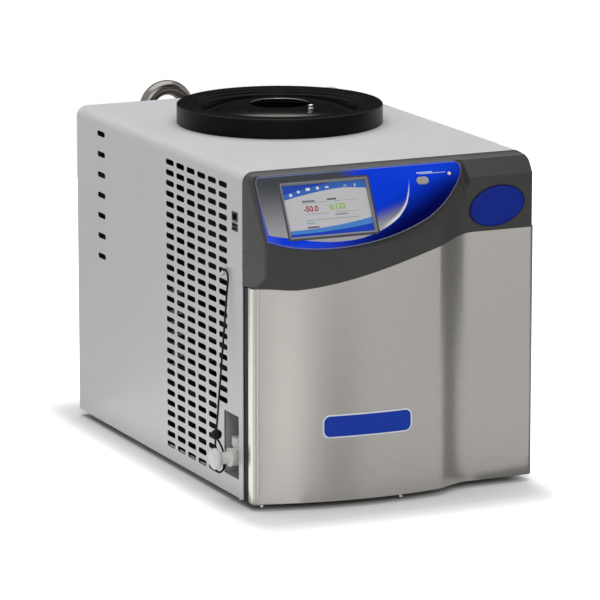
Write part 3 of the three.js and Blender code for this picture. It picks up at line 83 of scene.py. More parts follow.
# ---------------------------------------------------------------- camera
camera = placed("camera", bpy.data.cameras.new("camera"))
camera.location = at((-2240.9, -4601.7, 1320.4))
camera.rotation_euler = Vector((0.4109, 0.8873, -0.2094)).to_track_quat("-Z", "Y").to_euler()
camera.data.sensor_width = 36
camera.data.lens = 265.15
bpy.context.scene.camera = camera


# ---------------------------------------------------------------- nodes of a material
def linear(code):
    """An sRGB hex colour as linear RGBA: each channel c becomes c/12.92, or ((c+0.055)/1.055)^2.4 above
    0.04045."""
    c = np.array([int(code[i:i + 2], 16) for i in (1, 3, 5)]) / 255
    return (*np.where(c > 0.04045, ((c + 0.055) / 1.055) ** 2.4, c / 12.92).tolist(), 1.0)


def node(tree, kind, inputs=(), output=0, **settings):
    """The output of a new node. Settings are its own properties; inputs maps a socket to a value or an
    output."""
    made = tree.nodes.new("ShaderNode" + kind)
    for key, value in settings.items():
        setattr(made, key, value)
    for key, value in dict(inputs).items():
        if isinstance(value, bpy.types.NodeSocket):
            tree.links.new(value, made.inputs[key])
        else:
            made.inputs[key].default_value = value
    return made.outputs[output]


def joined(tree, a, b, operation="ADD"):
    """Two values added, or joined by another operation."""
    return node(tree, "Math", {0: a, 1: b}, operation=operation)


def vector_of(tree, a, b, operation, output=0):
    """Two vectors joined by an operation."""
    return node(tree, "VectorMath", {0: a, 1: b}, output, operation=operation)


def clouds(tree, place, size, detail=2.0):
    """Noise from 0 to 1 in patches of a size in millimetres."""
    return node(tree, "TexNoise", {"Vector": place, "Scale": 1000 / size, "Detail": detail})


def mixed(tree, share, low, high):
    """Two colours, each a hex code or an output, mixed by a share."""
    low, high = (linear(colour) if isinstance(colour, str) else colour for colour in (low, high))
    return node(tree, "Mix", {0: share, 6: low, 7: high}, 2, data_type="RGBA")


def spread(tree, share, low, high):
    """A share from 0 to 1 spread from low to high."""
    return node(tree, "MapRange", {"Value": share, "To Min": low, "To Max": high})


def share_of(tree, value, start, end, **settings):
    """Where a value lies between a start at 0 and an end at 1."""
    return node(tree, "MapRange", {"Value": value, "From Min": start, "From Max": end}, **settings)


def feed(shader, inputs):
    """Links outputs to the shader's own sockets."""
    for key, output in inputs.items():
        shader.id_data.links.new(output, shader.inputs[key])


def relief(shader, rise, strength, height):
    """Gives the shader the relief of a rise from 0 to 1, as high as a height in millimetres."""
    inputs = {"Height": rise, "Strength": strength, "Distance": height / 1000}
    feed(shader, {"Normal": node(shader.id_data, "Bump", inputs)})


def finish(name, shine=0.5, metal=0.0, **sockets):
    """A new material, its node tree, its Principled shader with the sockets set, and Object coordinates."""
    material = bpy.data.materials.new(name)
    material.use_nodes = True
    tree = material.node_tree
    shader = tree.nodes["Principled BSDF"]
    for key, value in {"Specular_IOR_Level": shine, "Metallic": metal, **sockets}.items():
        shader.inputs[key.replace("_", " ")].default_value = value
    return material, tree, shader, node(tree, "TexCoord", output="Object")


def grained(name, light, dark, patch, grain, height, rough, **sockets):
    """A finish whose colour drifts between two tones over patches of some millimetres, with a surface grain
    of some millimetres and height, and a roughness that drifts with the same patches."""
    material, tree, shader, place = finish(name, **sockets)
    cloud = clouds(tree, place, patch, 3.0)
    feed(shader, {"Base Color": mixed(tree, cloud, dark, light), "Roughness": spread(tree, cloud, *rough)})
    relief(shader, clouds(tree, place, grain), 0.5, height)
    return material


# Powder-coated sheet: pale grey epoxy paint, satin, with the faint orange peel of baked powder (1.5 mm
# waves).
PAINT = grained("powder_coated_steel_pale", "#D3D3D6", "#CECED1", 90, 1.5, 0.02, (0.36, 0.44))
# The same coating on the frame behind the front, its dark grey taken down to near black: painted shade for
# the gap between the cabinet and the steel front.
DARK_PAINT = grained("powder_coated_steel_dark_painted_shade", "#161718", "#121314", 60, 1.2, 0.02, (0.5, 0.6), shine=0.2)
# The inside of the cabinet and the cut walls of its slots are coloured near black, matt and a little uneven:
# painted shade, so that the vents read as black.
PRIMER = grained("sheet_inside_painted_shade", "#131415", "#0E0F10", 50, 1.5, 0.02, (0.75, 0.85), shine=0.3)
# The drain pocket is stove-enamelled mid grey and a little duller, as it is sprayed inside a box.
POCKET_PAINT = grained("enamelled_pocket_grey", "#A6A6A6", "#9A9A9A", 40, 1.2, 0.02, (0.5, 0.62))
# Galvanised sheet: zinc in dull grey spangles about 8 mm across.
ZINC = grained("galvanised_steel", "#9DA1A4", "#84888B", 8, 2.5, 0.02, (0.38, 0.55), metal=0.85)
# The condenser and the sheets round its fan are black over the zinc, as condensers often are, and made near
# black and matt between the fins so that the vents read as black: partly painted shade.
BLACKED = grained("black_zinc_sheet_and_painted_shade", "#131415", "#0D0E0F", 20, 1.5, 0.02, (0.7, 0.82), shine=0.25)
# Moulded ABS with a spark-eroded grain of 0.7 mm, a warm dark grey.
ABS = grained("moulded_abs_dark_grey", "#3C3B3A", "#383736", 70, 0.7, 0.03, (0.4, 0.48), shine=0.28)
# EPDM rubber, black and dull, turned smooth.
RUBBER = grained("epdm_rubber_black", "#0B0B0C", "#080809", 30, 0.8, 0.012, (0.3, 0.38), shine=0.07)
# Waxed cord pulled tight in a knot: black, with a little shine on the strands.
KNOT = grained("waxed_cord_black", "#09090A", "#050506", 4, 0.6, 0.05, (0.5, 0.65), shine=0.15)
# Neoprene of the feet, grommets and sleeve, greyer than the ring.
NEOPRENE = grained("neoprene_black", "#1B1B1D", "#151517", 20, 1.0, 0.03, (0.6, 0.72), shine=0.3)
# White nylon and polypropylene fittings: slightly translucent, with soft gloss and shallow sink marks.
NYLON = grained("moulded_nylon_white", "#E2E2DF", "#D6D6D3", 14, 2.5, 0.03, (0.3, 0.42),
                Subsurface_Weight=0.12, Subsurface_Scale=0.004)
# Glass-filled black nylon of sockets and inlets.
BLACK_PLASTIC = grained("moulded_nylon_black", "#1A1B1D", "#131416", 16, 0.9, 0.03, (0.4, 0.5))
# Grey silicone cap of the key.
KEY_GREY = grained("silicone_key_grey", "#A3A4A0", "#999A96", 6, 0.5, 0.01, (0.4, 0.5))
# Silver-grey lacquered plastic of the screen's bezel: a satin with hardly any flake, so its lip shades by
# its slope.
SILVER = grained("lacquered_plastic_silver", "#88898D", "#7D7E82", 12, 0.5, 0.01, (0.4, 0.5), shine=0.2,
                 metal=0.1)
# The same lacquer in slate on the bezel's flange, a little glossier.
SLATE = grained("lacquered_plastic_slate", "#54565A", "#4C4E52", 12, 0.5, 0.01, (0.26, 0.36), metal=0.2)
# The overlay's moulded edge, lacquered with more flake than the bezel, so it glints along its bead.
EDGE = grained("lacquered_edge_grey", "#6E7076", "#62646A", 12, 0.5, 0.01, (0.24, 0.34), metal=0.3)
# Drawn copper pipe, slightly tarnished in patches of 20 mm.
COPPER = grained("drawn_copper", "#C67D57", "#8E5233", 20, 3.0, 0.01, (0.28, 0.42), metal=1.0)
# Black stoved enamel on the pump and motor.
ENAMEL = grained("stoved_enamel_black", "#1C1D20", "#151618", 30, 1.6, 0.03, (0.28, 0.38))
# Closed-cell foam: matt, dark grey, with pores about 1.5 mm across.
FOAM = grained("closed_cell_foam", "#3A3B41", "#2C2D33", 12, 1.5, 0.25, (0.85, 0.95))
# Circuit board: green solder mask over glass weave.
BOARD = grained("solder_mask_green", "#1F6A40", "#17553A", 4, 1.0, 0.02, (0.3, 0.45))
# Clear PVC hose, milky with age.
HOSE = grained("clear_pvc_hose", "#D4D9DA", "#C3C9CB", 18, 3.0, 0.02, (0.22, 0.34), Transmission_Weight=0.35)
# Drawn stainless tube, a dark warm grey with a soft shine: its base is darkened as painted shade for the dark
# surroundings it mirrors.
TUBE = grained("drawn_stainless_tube", "#7A7672", "#6C6864", 30, 2.0, 0.006, (0.2, 0.28), metal=1.0)
# The baffle's spun sheet: smooth, without grain, its base darkened as painted shade for the dark surroundings
# it mirrors.
SPUN = grained("spun_stainless_painted_shade", "#7C7872", "#706B66", 60, 8.0, 0.0005, (0.12, 0.18), metal=1.0)
# Polished 304 stainless steel: bright, with a faint haze left by the mop.
POLISHED = grained("polished_stainless", "#C4C3C1", "#B3B2B0", 25, 0.6, 0.004, (0.13, 0.2), metal=1.0)


def brushed_stainless():
    """Brushed 304 sheet: level hairlines, 0.3 mm apart and drawn 60 mm long, so it smears light up and down
    and keeps upright bands sharp. Warm grey, a little darker where the belt bit deeper."""
    material, tree, shader, place = finish("brushed_stainless", metal=1.0)
    lines = node(tree, "Mapping", {"Vector": place, "Scale": (16, 16, 3000)})
    hair = node(tree, "TexNoise", {"Vector": lines, "Scale": 1.0, "Detail": 2.0, "Roughness": 0.5})
    tone, rough = mixed(tree, hair, "#B1AEA9", "#B6B3AE"), spread(tree, hair, 0.26, 0.3)
    feed(shader, {"Base Color": tone, "Roughness": rough})
    relief(shader, hair, 0.05, 0.01)
    return material


def braided_cord():
    """Black braid on the cord's own UV: two sets of strands crossing every 1.2 mm, as the larger of two
    diagonal waves, with the valleys darker than the crowns."""
    material, tree, shader, _ = finish("braided_cord_black", 0.2, Roughness=0.75)
    parts = node(tree, "SeparateXYZ", {0: node(tree, "TexCoord", output="UV")}).node.outputs
    waves = []
    for hand in (1, -1):
        lean = joined(tree, parts[1], 2 * PI * 4 * hand, "MULTIPLY")
        run = node(tree, "Math", {0: parts[0], 1: 2 * PI / 0.0024, 2: lean}, operation="MULTIPLY_ADD")
        waves.append(node(tree, "Math", {0: run}, operation="SINE"))
    crown = joined(tree, *waves, "MAXIMUM")
    feed(shader, {"Base Color": mixed(tree, crown, "#050506", "#0F0F10")})
    relief(shader, crown, 0.6, 0.2)
    return material


STEEL, CORD = brushed_stainless(), braided_cord()

# ---------------------------------------------------------------- the leaning face
# Its own coordinates are x across it, v up it and w out of it.
LEAN = math.radians(27)
FACE_AT = np.array((0.0, -17.0, TOP - 7.3))
FACE_UP = np.array((0.0, math.sin(LEAN), math.cos(LEAN)))
FACE_OUT = np.array((0.0, -math.cos(LEAN), math.sin(LEAN)))


def on_face(points):
    """(x, v, w) on the leaning face to cabinet coordinates: face point + x across + v up + w out."""
    p = np.asarray(points, float)
    return FACE_AT + p[..., :1] * (1, 0, 0) + p[..., 1:2] * FACE_UP + p[..., 2:3] * FACE_OUT


def face_place(tree, place):
    """Object coordinates as (x, v) on the leaning face, in millimetres."""
    mm = node(tree, "VectorMath", {0: place, "Scale": 1000.0}, operation="SCALE")
    near = vector_of(tree, mm, tuple(np.array(at(FACE_AT)) * 1000), "SUBTRACT")
    return node(tree, "SeparateXYZ", {0: near}), vector_of(tree, near, tuple(FACE_UP), "DOT_PRODUCT", "Value")


def curve_of(tree, value, span, points, reach):
    """A smooth curve through (a, b) points as nodes: a runs over span, b over reach."""
    curve = node(tree, "FloatCurve", {"Value": share_of(tree, value, *span)})
    mapping = curve.node.mapping
    line = mapping.curves[0]
    while len(line.points) < len(points):
        line.points.new(0.5, 0.5)
    for spot, (a, b) in zip(line.points, points):
        spot.location = ((a - span[0]) / (span[1] - span[0]), (b - reach[0]) / (reach[1] - reach[0]))
    mapping.update()
    return spread(tree, curve, *reach)


def printed_lens():
    """Hard-coated polyester overlay, printed from behind: bright blue that deepens to navy below and to the
    right, a silver field round the screen that ends in a crescent on the right, a lit edge on that crescent
    and a fine pale line along the top. The clear coat gives an even gloss over all of it."""
    material, tree, shader, place = finish("polyester_overlay_blue", 0.1, Roughness=0.2, Coat_Weight=0.08,
                                           Coat_Roughness=0.05)
    x, v = face_place(tree, place)

    def step(value, start, end):
        """An eased share."""
        return share_of(tree, value, start, end, interpolation_type="SMOOTHSTEP")

    def times(a, b):
        """Two values multiplied."""
        return joined(tree, a, b, "MULTIPLY")

    # Blue: bright at the upper middle, navy along the lower right.
    deep = step(joined(tree, times(v, -0.0125), times(x, 0.0062)), 0.30, 0.92)
    glow = times(step(v, -26.0, -4.0), step(x, -60.0, 20.0))
    blue = mixed(tree, times(glow, 0.35), mixed(tree, deep, "#0A3EE2", "#01054E"), "#1A4CE8")
    # Silver field: above its lower curve and left of its end, fading upwards to slate on the right.
    lower_curve = [(-176, -66), (-168, -69), (-141.7, -74.5), (-114, -80), (-80, -82.5), (-47.8, -79),
                   (-11.8, -65), (5.9, -50), (13, -38), (20, -10)]
    above = joined(tree, v, curve_of(tree, x, (-176, 20), lower_curve, (-90, 0)), "SUBTRACT")
    left = step(joined(tree, x, times(v, 0.085)), -179.4, -177.4)
    fade_up = step(joined(tree, v, times(joined(tree, x, 34.0), -0.3)), -48.0, -72.0)
    on_right = joined(tree, step(x, -36.0, -74.0), fade_up, "MAXIMUM")
    silver = mixed(tree, step(v, -84.0, -2.0), "#A9A8AC", "#474950")
    colour = mixed(tree, times(times(step(above, -0.4, 0.5), left), on_right), blue, silver)
    # The lit edge along the crescent.
    edge = times(step(above, -0.6, 0.8), step(above, 6.5, 0.8))
    edge = times(edge, times(step(x, -34.0, -8.0), step(v, -12.0, -34.0)))
    colour = mixed(tree, edge, colour, "#F2F2F6")
    # Fine pale line a little below the top edge.
    line = times(step(v, 1.2, 1.7), step(v, 2.7, 2.2))
    feed(shader, {"Base Color": mixed(tree, times(line, 0.6), colour, "#7E93D8")})
    relief(shader, clouds(tree, place, 0.8), 0.15, 0.01)
    return material


def inked(name, rough, coat, coat_rough):
    """Printed or lit colours under a clear coat, read from each face's own ink attribute, with a haze of 3
    mm."""
    material, tree, shader, place = finish(name, Roughness=rough, Coat_Weight=coat, Coat_Roughness=coat_rough)
    ink = node(tree, "Attribute", output="Color", attribute_name="ink")
    soft = spread(tree, clouds(tree, place, 3), 0.96, 1.04)
    feed(shader, {"Base Color": node(tree, "VectorMath", {0: ink, "Scale": soft}, operation="SCALE")})
    return material


def plate_print(name, rim, deep, light, width):
    """Enamelled plate: the rim colour within a width of the edge, the field inside, by the piece's own
    attribute of how far each point lies in from its edge; the field drifts between two shades over 20
    mm."""
    material, tree, shader, place = finish(name, 0.12, Roughness=0.3)
    into = node(tree, "Attribute", output="Fac", attribute_name="into")
    field = mixed(tree, clouds(tree, place, 20), deep, light)
    feed(shader, {"Base Color": mixed(tree, share_of(tree, into, width - 0.25, width + 0.25), rim, field)})
    return material


LENS = printed_lens()
# Colour display under touch glass: even and slightly milky, with the gloss of the glass on top.
DISPLAY = inked("display_pixels", 0.25, 0.5, 0.05)
# Screen-printed enamel on polycarbonate, for the legend line.
PRINT = inked("screen_printed_polycarbonate", 0.3, 0.4, 0.1)
# Enamelled plates: a pale keyline round royal blue on the front, a darker rim on the oval one.
PLATE = plate_print("enamelled_plate_blue", "#E4E7EE", "#1A3FB0", "#14369E", 1.6)
BADGE = plate_print("enamelled_badge_blue", "#050F4A", "#0E2C96", "#0A2280", 1.4)


# ---------------------------------------------------------------- meshes
def quads(u, v, wrap):
    """The four corner numbers of every cell of a u by v grid, closed on itself where wrap says so."""
    i, j = np.meshgrid(np.arange(u - (not wrap[0])), np.arange(v - (not wrap[1])), indexing="ij")
    k, l = (i + 1) % u, (j + 1) % v
    return np.stack([i * v + j, k * v + j, k * v + l, i * v + l], -1).reshape(-1, 4)


def read(items, key, wide=3, kind=np.float32):
    """A property of every item, as rows of so many numbers."""
    flat = np.zeros(len(items) * wide, kind)
    items.foreach_get(key, flat)
    return flat.reshape(-1, wide)


def shaded(mesh, angle):
    """Smooth everywhere but at edges sharper than the angle, in degrees."""
    mesh.shade_smooth()
    mesh.set_sharp_from_angle(angle=math.radians(angle))


def built(name, points, faces, material, angle=35, solid=True, uv=None):
    """An object from points in cabinet millimetres and faces; doubles are merged and, on a closed body, the
    normals turned outwards."""
    mesh = bpy.data.meshes.new(name)
    mesh.from_pydata(((points + SHIFT) / 1000).tolist(), [], faces)
    if uv is not None:
        corner = read(mesh.loops, "vertex_index", 1, np.int32).ravel()
        mesh.uv_layers.new(name="UVMap").data.foreach_set("uv", uv[corner].astype(np.float32).ravel())
    shape = bmesh.new()
    shape.from_mesh(mesh)
    bmesh.ops.remove_doubles(shape, verts=shape.verts, dist=2e-6)
    bmesh.ops.delete(shape, geom=[e for e in shape.edges if not e.link_faces], context="EDGES")
    if solid:
        bmesh.ops.recalc_face_normals(shape, faces=shape.faces)
        if shape.calc_volume(signed=True) < 0:
            bmesh.ops.reverse_faces(shape, faces=shape.faces)
    shape.to_mesh(mesh)
    shape.free()
    mesh.materials.append(material)
    shaded(mesh, angle)
    return placed(name, mesh)


def grid_piece(name, grid, material, wrap=(False, False), capped=False, **rest):
    """A surface from a grid of points; capped closes the first and last rows of a closed section."""
    grid = np.asarray(grid, float)
    u, v = grid.shape[:2]
    faces = quads(u, v, wrap).tolist()
    if capped:
        faces += [list(range(v))[::-1], list(range((u - 1) * v, u * v))]
    return built(name, grid.reshape(-1, 3), faces, material, **rest)


def closed(name, grid, material, **rest):
    """A body from rows that each go once round a closed section, with a face over its first and last
    rows."""
    return grid_piece(name, grid, material, wrap=(False, True), capped=True, **rest)


def around(count):
    """Angles once round."""
    return np.linspace(0, 2 * PI, count, endpoint=False)


def turned(name, profile, material, centre, axis="z", sides=96, **rest):
    """A profile of (radius, height) turned about an axis through centre: x = r cos a, y = r sin a, z = h.
    It is closed on itself unless it starts and ends on the axis."""
    profile = np.asarray(profile, float)
    a = around(sides)[:, None]
    r, h = profile[None, :, 0], profile[None, :, 1]
    c, s, up = r * np.cos(a), r * np.sin(a), h + 0 * a
    grid = np.stack({"z": (c, s, up), "-x": (-up, c, s), "y": (s, up, c)}[axis], -1)
    return grid_piece(name, grid + np.array(centre, float), material, wrap=(True, profile[0, 0] > 0), **rest)


def softened(profile, radius, steps=3):
    """A profile with each corner replaced by a short arc: a quadratic curve between the points that lie
    radius, or two fifths of the side, away from the corner. Ends on the axis stay as they are."""
    ends = np.asarray(profile, float)
    on_axis = ends[0, 0] == 0
    p = np.concatenate([ends, [[-9, ends[-1, 1]], [-9, ends[0, 1]]]]) if on_axis else ends
    sides = np.roll(p, 1, 0) - p, np.roll(p, -1, 0) - p
    lengths = [np.linalg.norm(s, axis=1, keepdims=True) for s in sides]
    trims = [s * np.minimum(radius, 0.4 * n) / np.maximum(n, 1e-9) for s, n in zip(sides, lengths)]
    a, b = ((p + trim)[:, None] for trim in trims)
    t = np.linspace(0, 1, steps + 1)[None, :, None]
    soft = bent(a, p[:, None], b, t).reshape(-1, 2)
    return np.concatenate([ends[:1], soft[soft[:, 0] > 0.01], ends[-1:]]) if on_axis else soft


def unit(rows):
    """Each row scaled to a length of 1."""
    return rows / np.linalg.norm(rows, axis=1, keepdims=True)


def steps_of(path):
    """The distance from each point to the next."""
    return np.linalg.norm(np.diff(path, axis=0), axis=1)


def run_of(path):
    """How far along the path each point lies."""
    return np.concatenate([[0], np.cumsum(steps_of(path))])


def along(name, path, radius, material, sides=24, bore=0.0, **rest):
    """A round section carried along a path: each ring lies square to the path's direction, turned as little
    as possible from the one before. With a bore it is a tube: out along the outside and back along the
    bore."""
    path = np.asarray(path, float)
    ahead = unit(np.gradient(path, axis=0))
    side = np.zeros_like(path)
    side[0] = np.cross(ahead[0], (0.31, 0.2, 0.93) if abs(ahead[0][2]) < 0.9 else (1, 0, 0))
    for i in range(1, len(path)):
        side[i] = side[i - 1] - ahead[i] * np.dot(side[i - 1], ahead[i])
    side = unit(side)
    other = np.cross(ahead, side)
    a = around(sides)[None, :, None]
    ring = side[:, None] * np.cos(a) + other[:, None] * np.sin(a)
    outer = path[:, None] + radius * ring
    if bore:
        rows = np.concatenate([outer, (path[:, None] + bore * ring)[::-1]])
        return grid_piece(name, rows, material, wrap=(True, True), **rest)
    run = run_of(path) / 1000
    uv = np.stack(np.broadcast_arrays(run[:, None], np.linspace(0, 1, sides)[None]), -1).reshape(-1, 2)
    return closed(name, outer, material, uv=uv, **rest)


def raised(outline, high):
    """An outline in two dimensions lifted to a height."""
    return np.column_stack([outline, np.full(len(outline), high)])


def slab(name, outline, low, high, material):
    """A flat plate on the leaning face: an outline carried from low to high."""
    return closed(name, on_face([raised(outline, low), raised(outline, high)]), material)


def baked(piece):
    """Applies the piece's modifiers to its mesh."""
    bpy.context.view_layer.update()
    graph = bpy.context.evaluated_depsgraph_get()
    solved = piece.evaluated_get(graph)
    mesh = bpy.data.meshes.new_from_object(solved, preserve_all_data_layers=True, depsgraph=graph)
    piece.modifiers.clear()
    piece.data = mesh


def cut(piece, *tools, angle=35, solver="MANIFOLD"):
    """Takes the tools' bodies out of the piece, and the tools away."""
    for tool in tools:
        change = piece.modifiers.new("cut", "BOOLEAN")
        change.object, change.operation, change.solver = tool, "DIFFERENCE", solver
    baked(piece)
    for tool in tools:
        bpy.data.objects.remove(tool)
    shaded(piece.data, angle)
    return piece


def bevelled(piece, width, segments=2, angle=40):
    """Rounds the piece's edges by a width in millimetres."""
    change = piece.modifiers.new("bevel", "BEVEL")
    change.width, change.segments = width / 1000, segments
    change.limit_method, change.angle_limit = "ANGLE", math.radians(angle)
    change.harden_normals = True


def stands_for(piece, *names, body=None):
    """The piece takes the place of CAD nodes, or rides on a body where it stands for none."""
    if not body:
        body = next(key for key, empty in frame["bodies"].items() if NODES[names[0]].parent == empty)
    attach(piece, body)
    if names:
        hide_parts(*names)
    return piece


def smooth(t):
    """3t^2 - 2t^3, held between 0 and 1."""
    t = np.clip(t, 0, 1)
    return t * t * (3 - 2 * t)


def lerp(a, b, t):
    """The value a share t of the way from a to b."""
    return a + (b - a) * t


def arc(x, y, r, start, end, steps):
    """Points round a circle's part."""
    a = np.linspace(start, end, steps + 1)
    return np.column_stack([x + r * np.cos(a), y + r * np.sin(a)])


def rounded(wide, high, r, steps=5, centre=(0, 0)):
    """A rectangle with round corners, from its right side round to the left."""
    w, h, q = wide / 2 - r, high / 2 - r, PI / 2
    corners = enumerate([(1, 1), (-1, 1), (-1, -1), (1, -1)])
    return np.concatenate([arc(i * w, j * h, r, n * q, (n + 1) * q, steps) for n, (i, j) in corners]) + centre


def bent(a, b, c, t):
    """A quadratic curve from a towards b and on to c, at the shares t."""
    return (1 - t) ** 2 * a + 2 * t * (1 - t) * b + t ** 2 * c


def bezier(points, t):
    """A Bezier curve of three or four control points at the shares t."""
    p = [np.asarray(q, float) for q in points]
    t = np.asarray(t, float)[:, None]
    while len(p) > 1:
        p = [lerp(a, b, t) for a, b in zip(p, p[1:])]
    return p[0]


def stations(start, *stretches):
    """Numbers from a start on, through stretches of even steps, each given by its end and its count of
    numbers."""
    found = [start]
    for end, count in stretches:
        found += np.linspace(found[-1], end, count)[1:].tolist()
    return np.array(found)


def inwards(line):
    """The unit direction to the left of a line in two dimensions, at each of its points."""
    ahead = unit(np.gradient(line, axis=0))
    return np.column_stack([-ahead[:, 1], ahead[:, 0]])


# ---------------------------------------------------------------- tether cords
# Where the plug's cord runs, in metres: from the clip's neck over it and down to the ball, then the loop
# under it.
DROP = (np.array([
    [-186.8, 49.4, 261.5], [-186.8, 49.7, 264.2], [-186.8, 48.8, 266.9], [-186.8, 46.4, 269.1],
    [-186.8, 42.5, 269.6], [-186.8, 38.6, 268.1], [-186.8, 35.5, 264.5], [-186.9, 34.5, 259.7],
    [-187.2, 34.7, 253.9], [-187.6, 35.5, 247.0], [-188.5, 36.0, 234.1], [-189.6, 36.6, 217.2],
    [-191.0, 37.5, 196.5], [-192.5, 38.3, 174.2], [-194.1, 39.2, 151.6], [-195.6, 40.0, 129.3],
    [-196.8, 40.8, 111.1], [-197.9, 41.4, 94.4], [-199.0, 42.0, 78.8]]) + SHIFT) / 1000
LOOP = (np.array([
    [-200.4, 42.0, 65.2], [-200.1, 43.1, 61.2], [-199.8, 44.2, 56.2], [-199.4, 45.2, 50.0],
    [-199.3, 45.3, 42.6], [-199.4, 45.2, 35.8], [-199.3, 45.0, 30.0], [-198.5, 44.7, 27.3],
    [-196.7, 44.5, 25.5], [-194.0, 44.4, 24.7], [-191.3, 44.5, 25.5], [-189.5, 44.7, 27.3],
    [-188.7, 45.0, 30.0], [-188.6, 45.2, 35.8], [-188.8, 45.3, 42.6], [-189.5, 45.2, 50.0],
    [-192.0, 44.2, 56.2], [-194.8, 43.1, 61.2], [-197.4, 42.0, 65.2]]) + SHIFT) / 1000
THICK = 0.0024


def eased(points, steps=4):
    """Extra points between the given ones, on the Catmull-Rom curve through them."""
    p = np.concatenate([[2 * points[0] - points[1]], points, [2 * points[-1] - points[-2]]])
    t = np.linspace(0, 1, steps, endpoint=False)[None, :, None]
    a, b, c, d = (p[i:len(p) - 3 + i, None] for i in range(4))
    square, cube = 2 * a - 5 * b + 4 * c - d, 3 * b - a - 3 * c + d
    fine = 0.5 * (2 * b + (c - a) * t + square * t ** 2 + cube * t ** 3)
    return np.concatenate([fine.reshape(-1, 3), points[-1:]])


for name, route in (("tether_drop", DROP), ("tether_loop", LOOP)):
    line = eased(route)
    cord = along(name + "_cord", line * 1000 - SHIFT, THICK * 500, CORD, sides=12)
    stands_for(cord, name)


# ---------------------------------------------------------------- cabinet
FOLD, SHEET = 13.0, 1.2
SLOT_WIDE, SLOT_HIGH, SLOT_PITCH = 24, 6.8, 12.95
TRAP = (0, 297, 0)


def fold_outline(inset):
    """(x, z) up the right, over the top and down the left, set in by some amount."""
    r = FOLD - inset
    return np.concatenate([
        [[RIGHT - inset, 0]], arc(RIGHT - FOLD, TOP - FOLD, r, 0, PI / 2, 12),
        arc(LEFT + FOLD, TOP - FOLD, r, PI / 2, PI, 12), [[LEFT + inset, 0]]])


def vent_centres():
    """(y, z) of every slot: six columns 31.46 mm apart in rows 12.95 mm apart, clear of the pocket, and a
    seventh column of seven at the rear, two rows apart."""
    first = TOP - 23.2
    y, z = np.meshgrid(55.4 + 31.46 * np.arange(6), first - SLOT_PITCH * np.arange(28), indexing="ij")
    y, z = y.ravel(), z.ravel()
    kept = ((y - SLOT_WIDE / 2 > 53) | (z - SLOT_HIGH > 98)) & (z >= 16)
    rear = np.column_stack([np.full(7, REAR - 80.5), first - 2 * SLOT_PITCH * np.arange(7)])
    return np.concatenate([np.column_stack([y, z])[kept], rear])


def side_cutters(name, outlines):
    """One body of prisms through the left side, each from an outline in (y, z)."""
    points, faces = [], []
    for outline in outlines:
        n = len(outline)
        first = sum(len(p) for p in points)
        points += [np.column_stack([np.full(n, x), outline]) for x in (LEFT - 2, LEFT + 3)]
        faces += (quads(2, n, (False, True)) + first).tolist()
        faces += [list(range(first, first + n))[::-1], list(range(first + n, first + 2 * n))]
    return built(name, np.concatenate(points), faces, PAINT)


def is_inside(skin):
    """Which faces of the sheet take the near-black painted shade: those that look inwards, and the walls of
    the slots."""
    x, y, z = (read(skin.data.polygons, "center") * 1000 - SHIFT).T
    across, _, up = read(skin.data.polygons, "normal").T
    facing_in = (across * np.sign(x) < -0.3) | ((up < -0.3) & (z > TOP - FOLD - 1))
    on_side = (x < LEFT + SHEET) & (y > 1) & (y < REAR - 1) & (z > 1) & (z < TOP - FOLD - 1)
    return facing_in | (on_side & (np.abs(across) < 0.3))


def cabinet():
    """The fold's section carried from front to rear, with its slots, pocket, ports and the trap's hole cut
    out."""
    x, z = np.concatenate([fold_outline(0), fold_outline(SHEET)[::-1]]).T
    grid = np.stack([np.column_stack([x, np.full(len(x), y), z]) for y in (0.0, REAR)])
    skin = closed("cabinet_skin", grid, PAINT)
    slot = rounded(SLOT_WIDE, SLOT_HIGH, 3.2, 4)
    vents = side_cutters("vents", [slot + c for c in vent_centres()])
    windows = side_cutters("windows", [
        rounded(41.5, 76, 0.6, 2, (32.25, 60)), rounded(16.6, 11.6, 0.8, 2, (20.8, TOP - 55.8)),
        rounded(16.6, 10.2, 0.8, 2, (20.8, TOP - 68.1))])
    hole = turned("hole", [(0, TOP - 9), (114, TOP - 9), (114, TOP + 9), (0, TOP + 9)], PAINT, TRAP)
    cut(skin, vents, windows, hole)
    # The inward faces and the slot walls take the near-black painted shade.
    skin.data.materials.append(PRIMER)
    skin.data.polygons.foreach_set("material_index", is_inside(skin).astype(np.int32))
    stands_for(skin, "cabinet_shell")


cabinet()

# ---------------------------------------------------------------- steel front
CORNER = 6.3
CORNER_END = LEFT + 0.5 + CORNER
# So that the bow, 56 mm deep at x = -20, has come back to 28.785 mm at the corner's end.
FLATNESS = (CORNER_END + 20) ** 2 / (56 - 28.785)
STEP_AT = 46


def stepped(x, middle, flatness, depth, wing, wide):
    """A bow (x - middle)^2 / flatness - depth up to x = 46, then an eased step of a width back to the
    wing."""
    bow = (np.minimum(x, STEP_AT) - middle) ** 2 / flatness - depth
    return lerp(bow, wing, smooth(np.clip((x - STEP_AT) / wide, 0, 1) ** 0.8))


def steel_y(x):
    """The steel's bow, deepest 56 mm out at x = -20, and its wing at -32.5 from x = 98."""
    return stepped(x, -20, FLATNESS, 56, -32.5, 52)


SWOOSH = bezier([(-150, TOP - 133.7), (-50, TOP - 133.7), (62, TOP - 87.5), (98, TOP - 87.5)],
                np.linspace(0, 1, 200))


def swoosh_z(x):
    """Height of the housing's lower edge: level, a long S-curve up from x = -150 to 98, level again."""
    return np.interp(x, SWOOSH[:, 0], SWOOSH[:, 1])


def grooved(line):
    """The round corner with two rolled grooves in it, each a dip 0.55 exp(-((s - s0) / 0.55)^2) into the
    sheet, 5.2 and 1 mm before the corner's end, so that the edge reads as two polished beads."""
    s = run_of(line)
    dip = sum(0.55 * np.exp(-((s - (s[-1] - back)) / 0.55) ** 2) for back in (5.2, 1.0))
    return line + inwards(line) * dip[:, None]


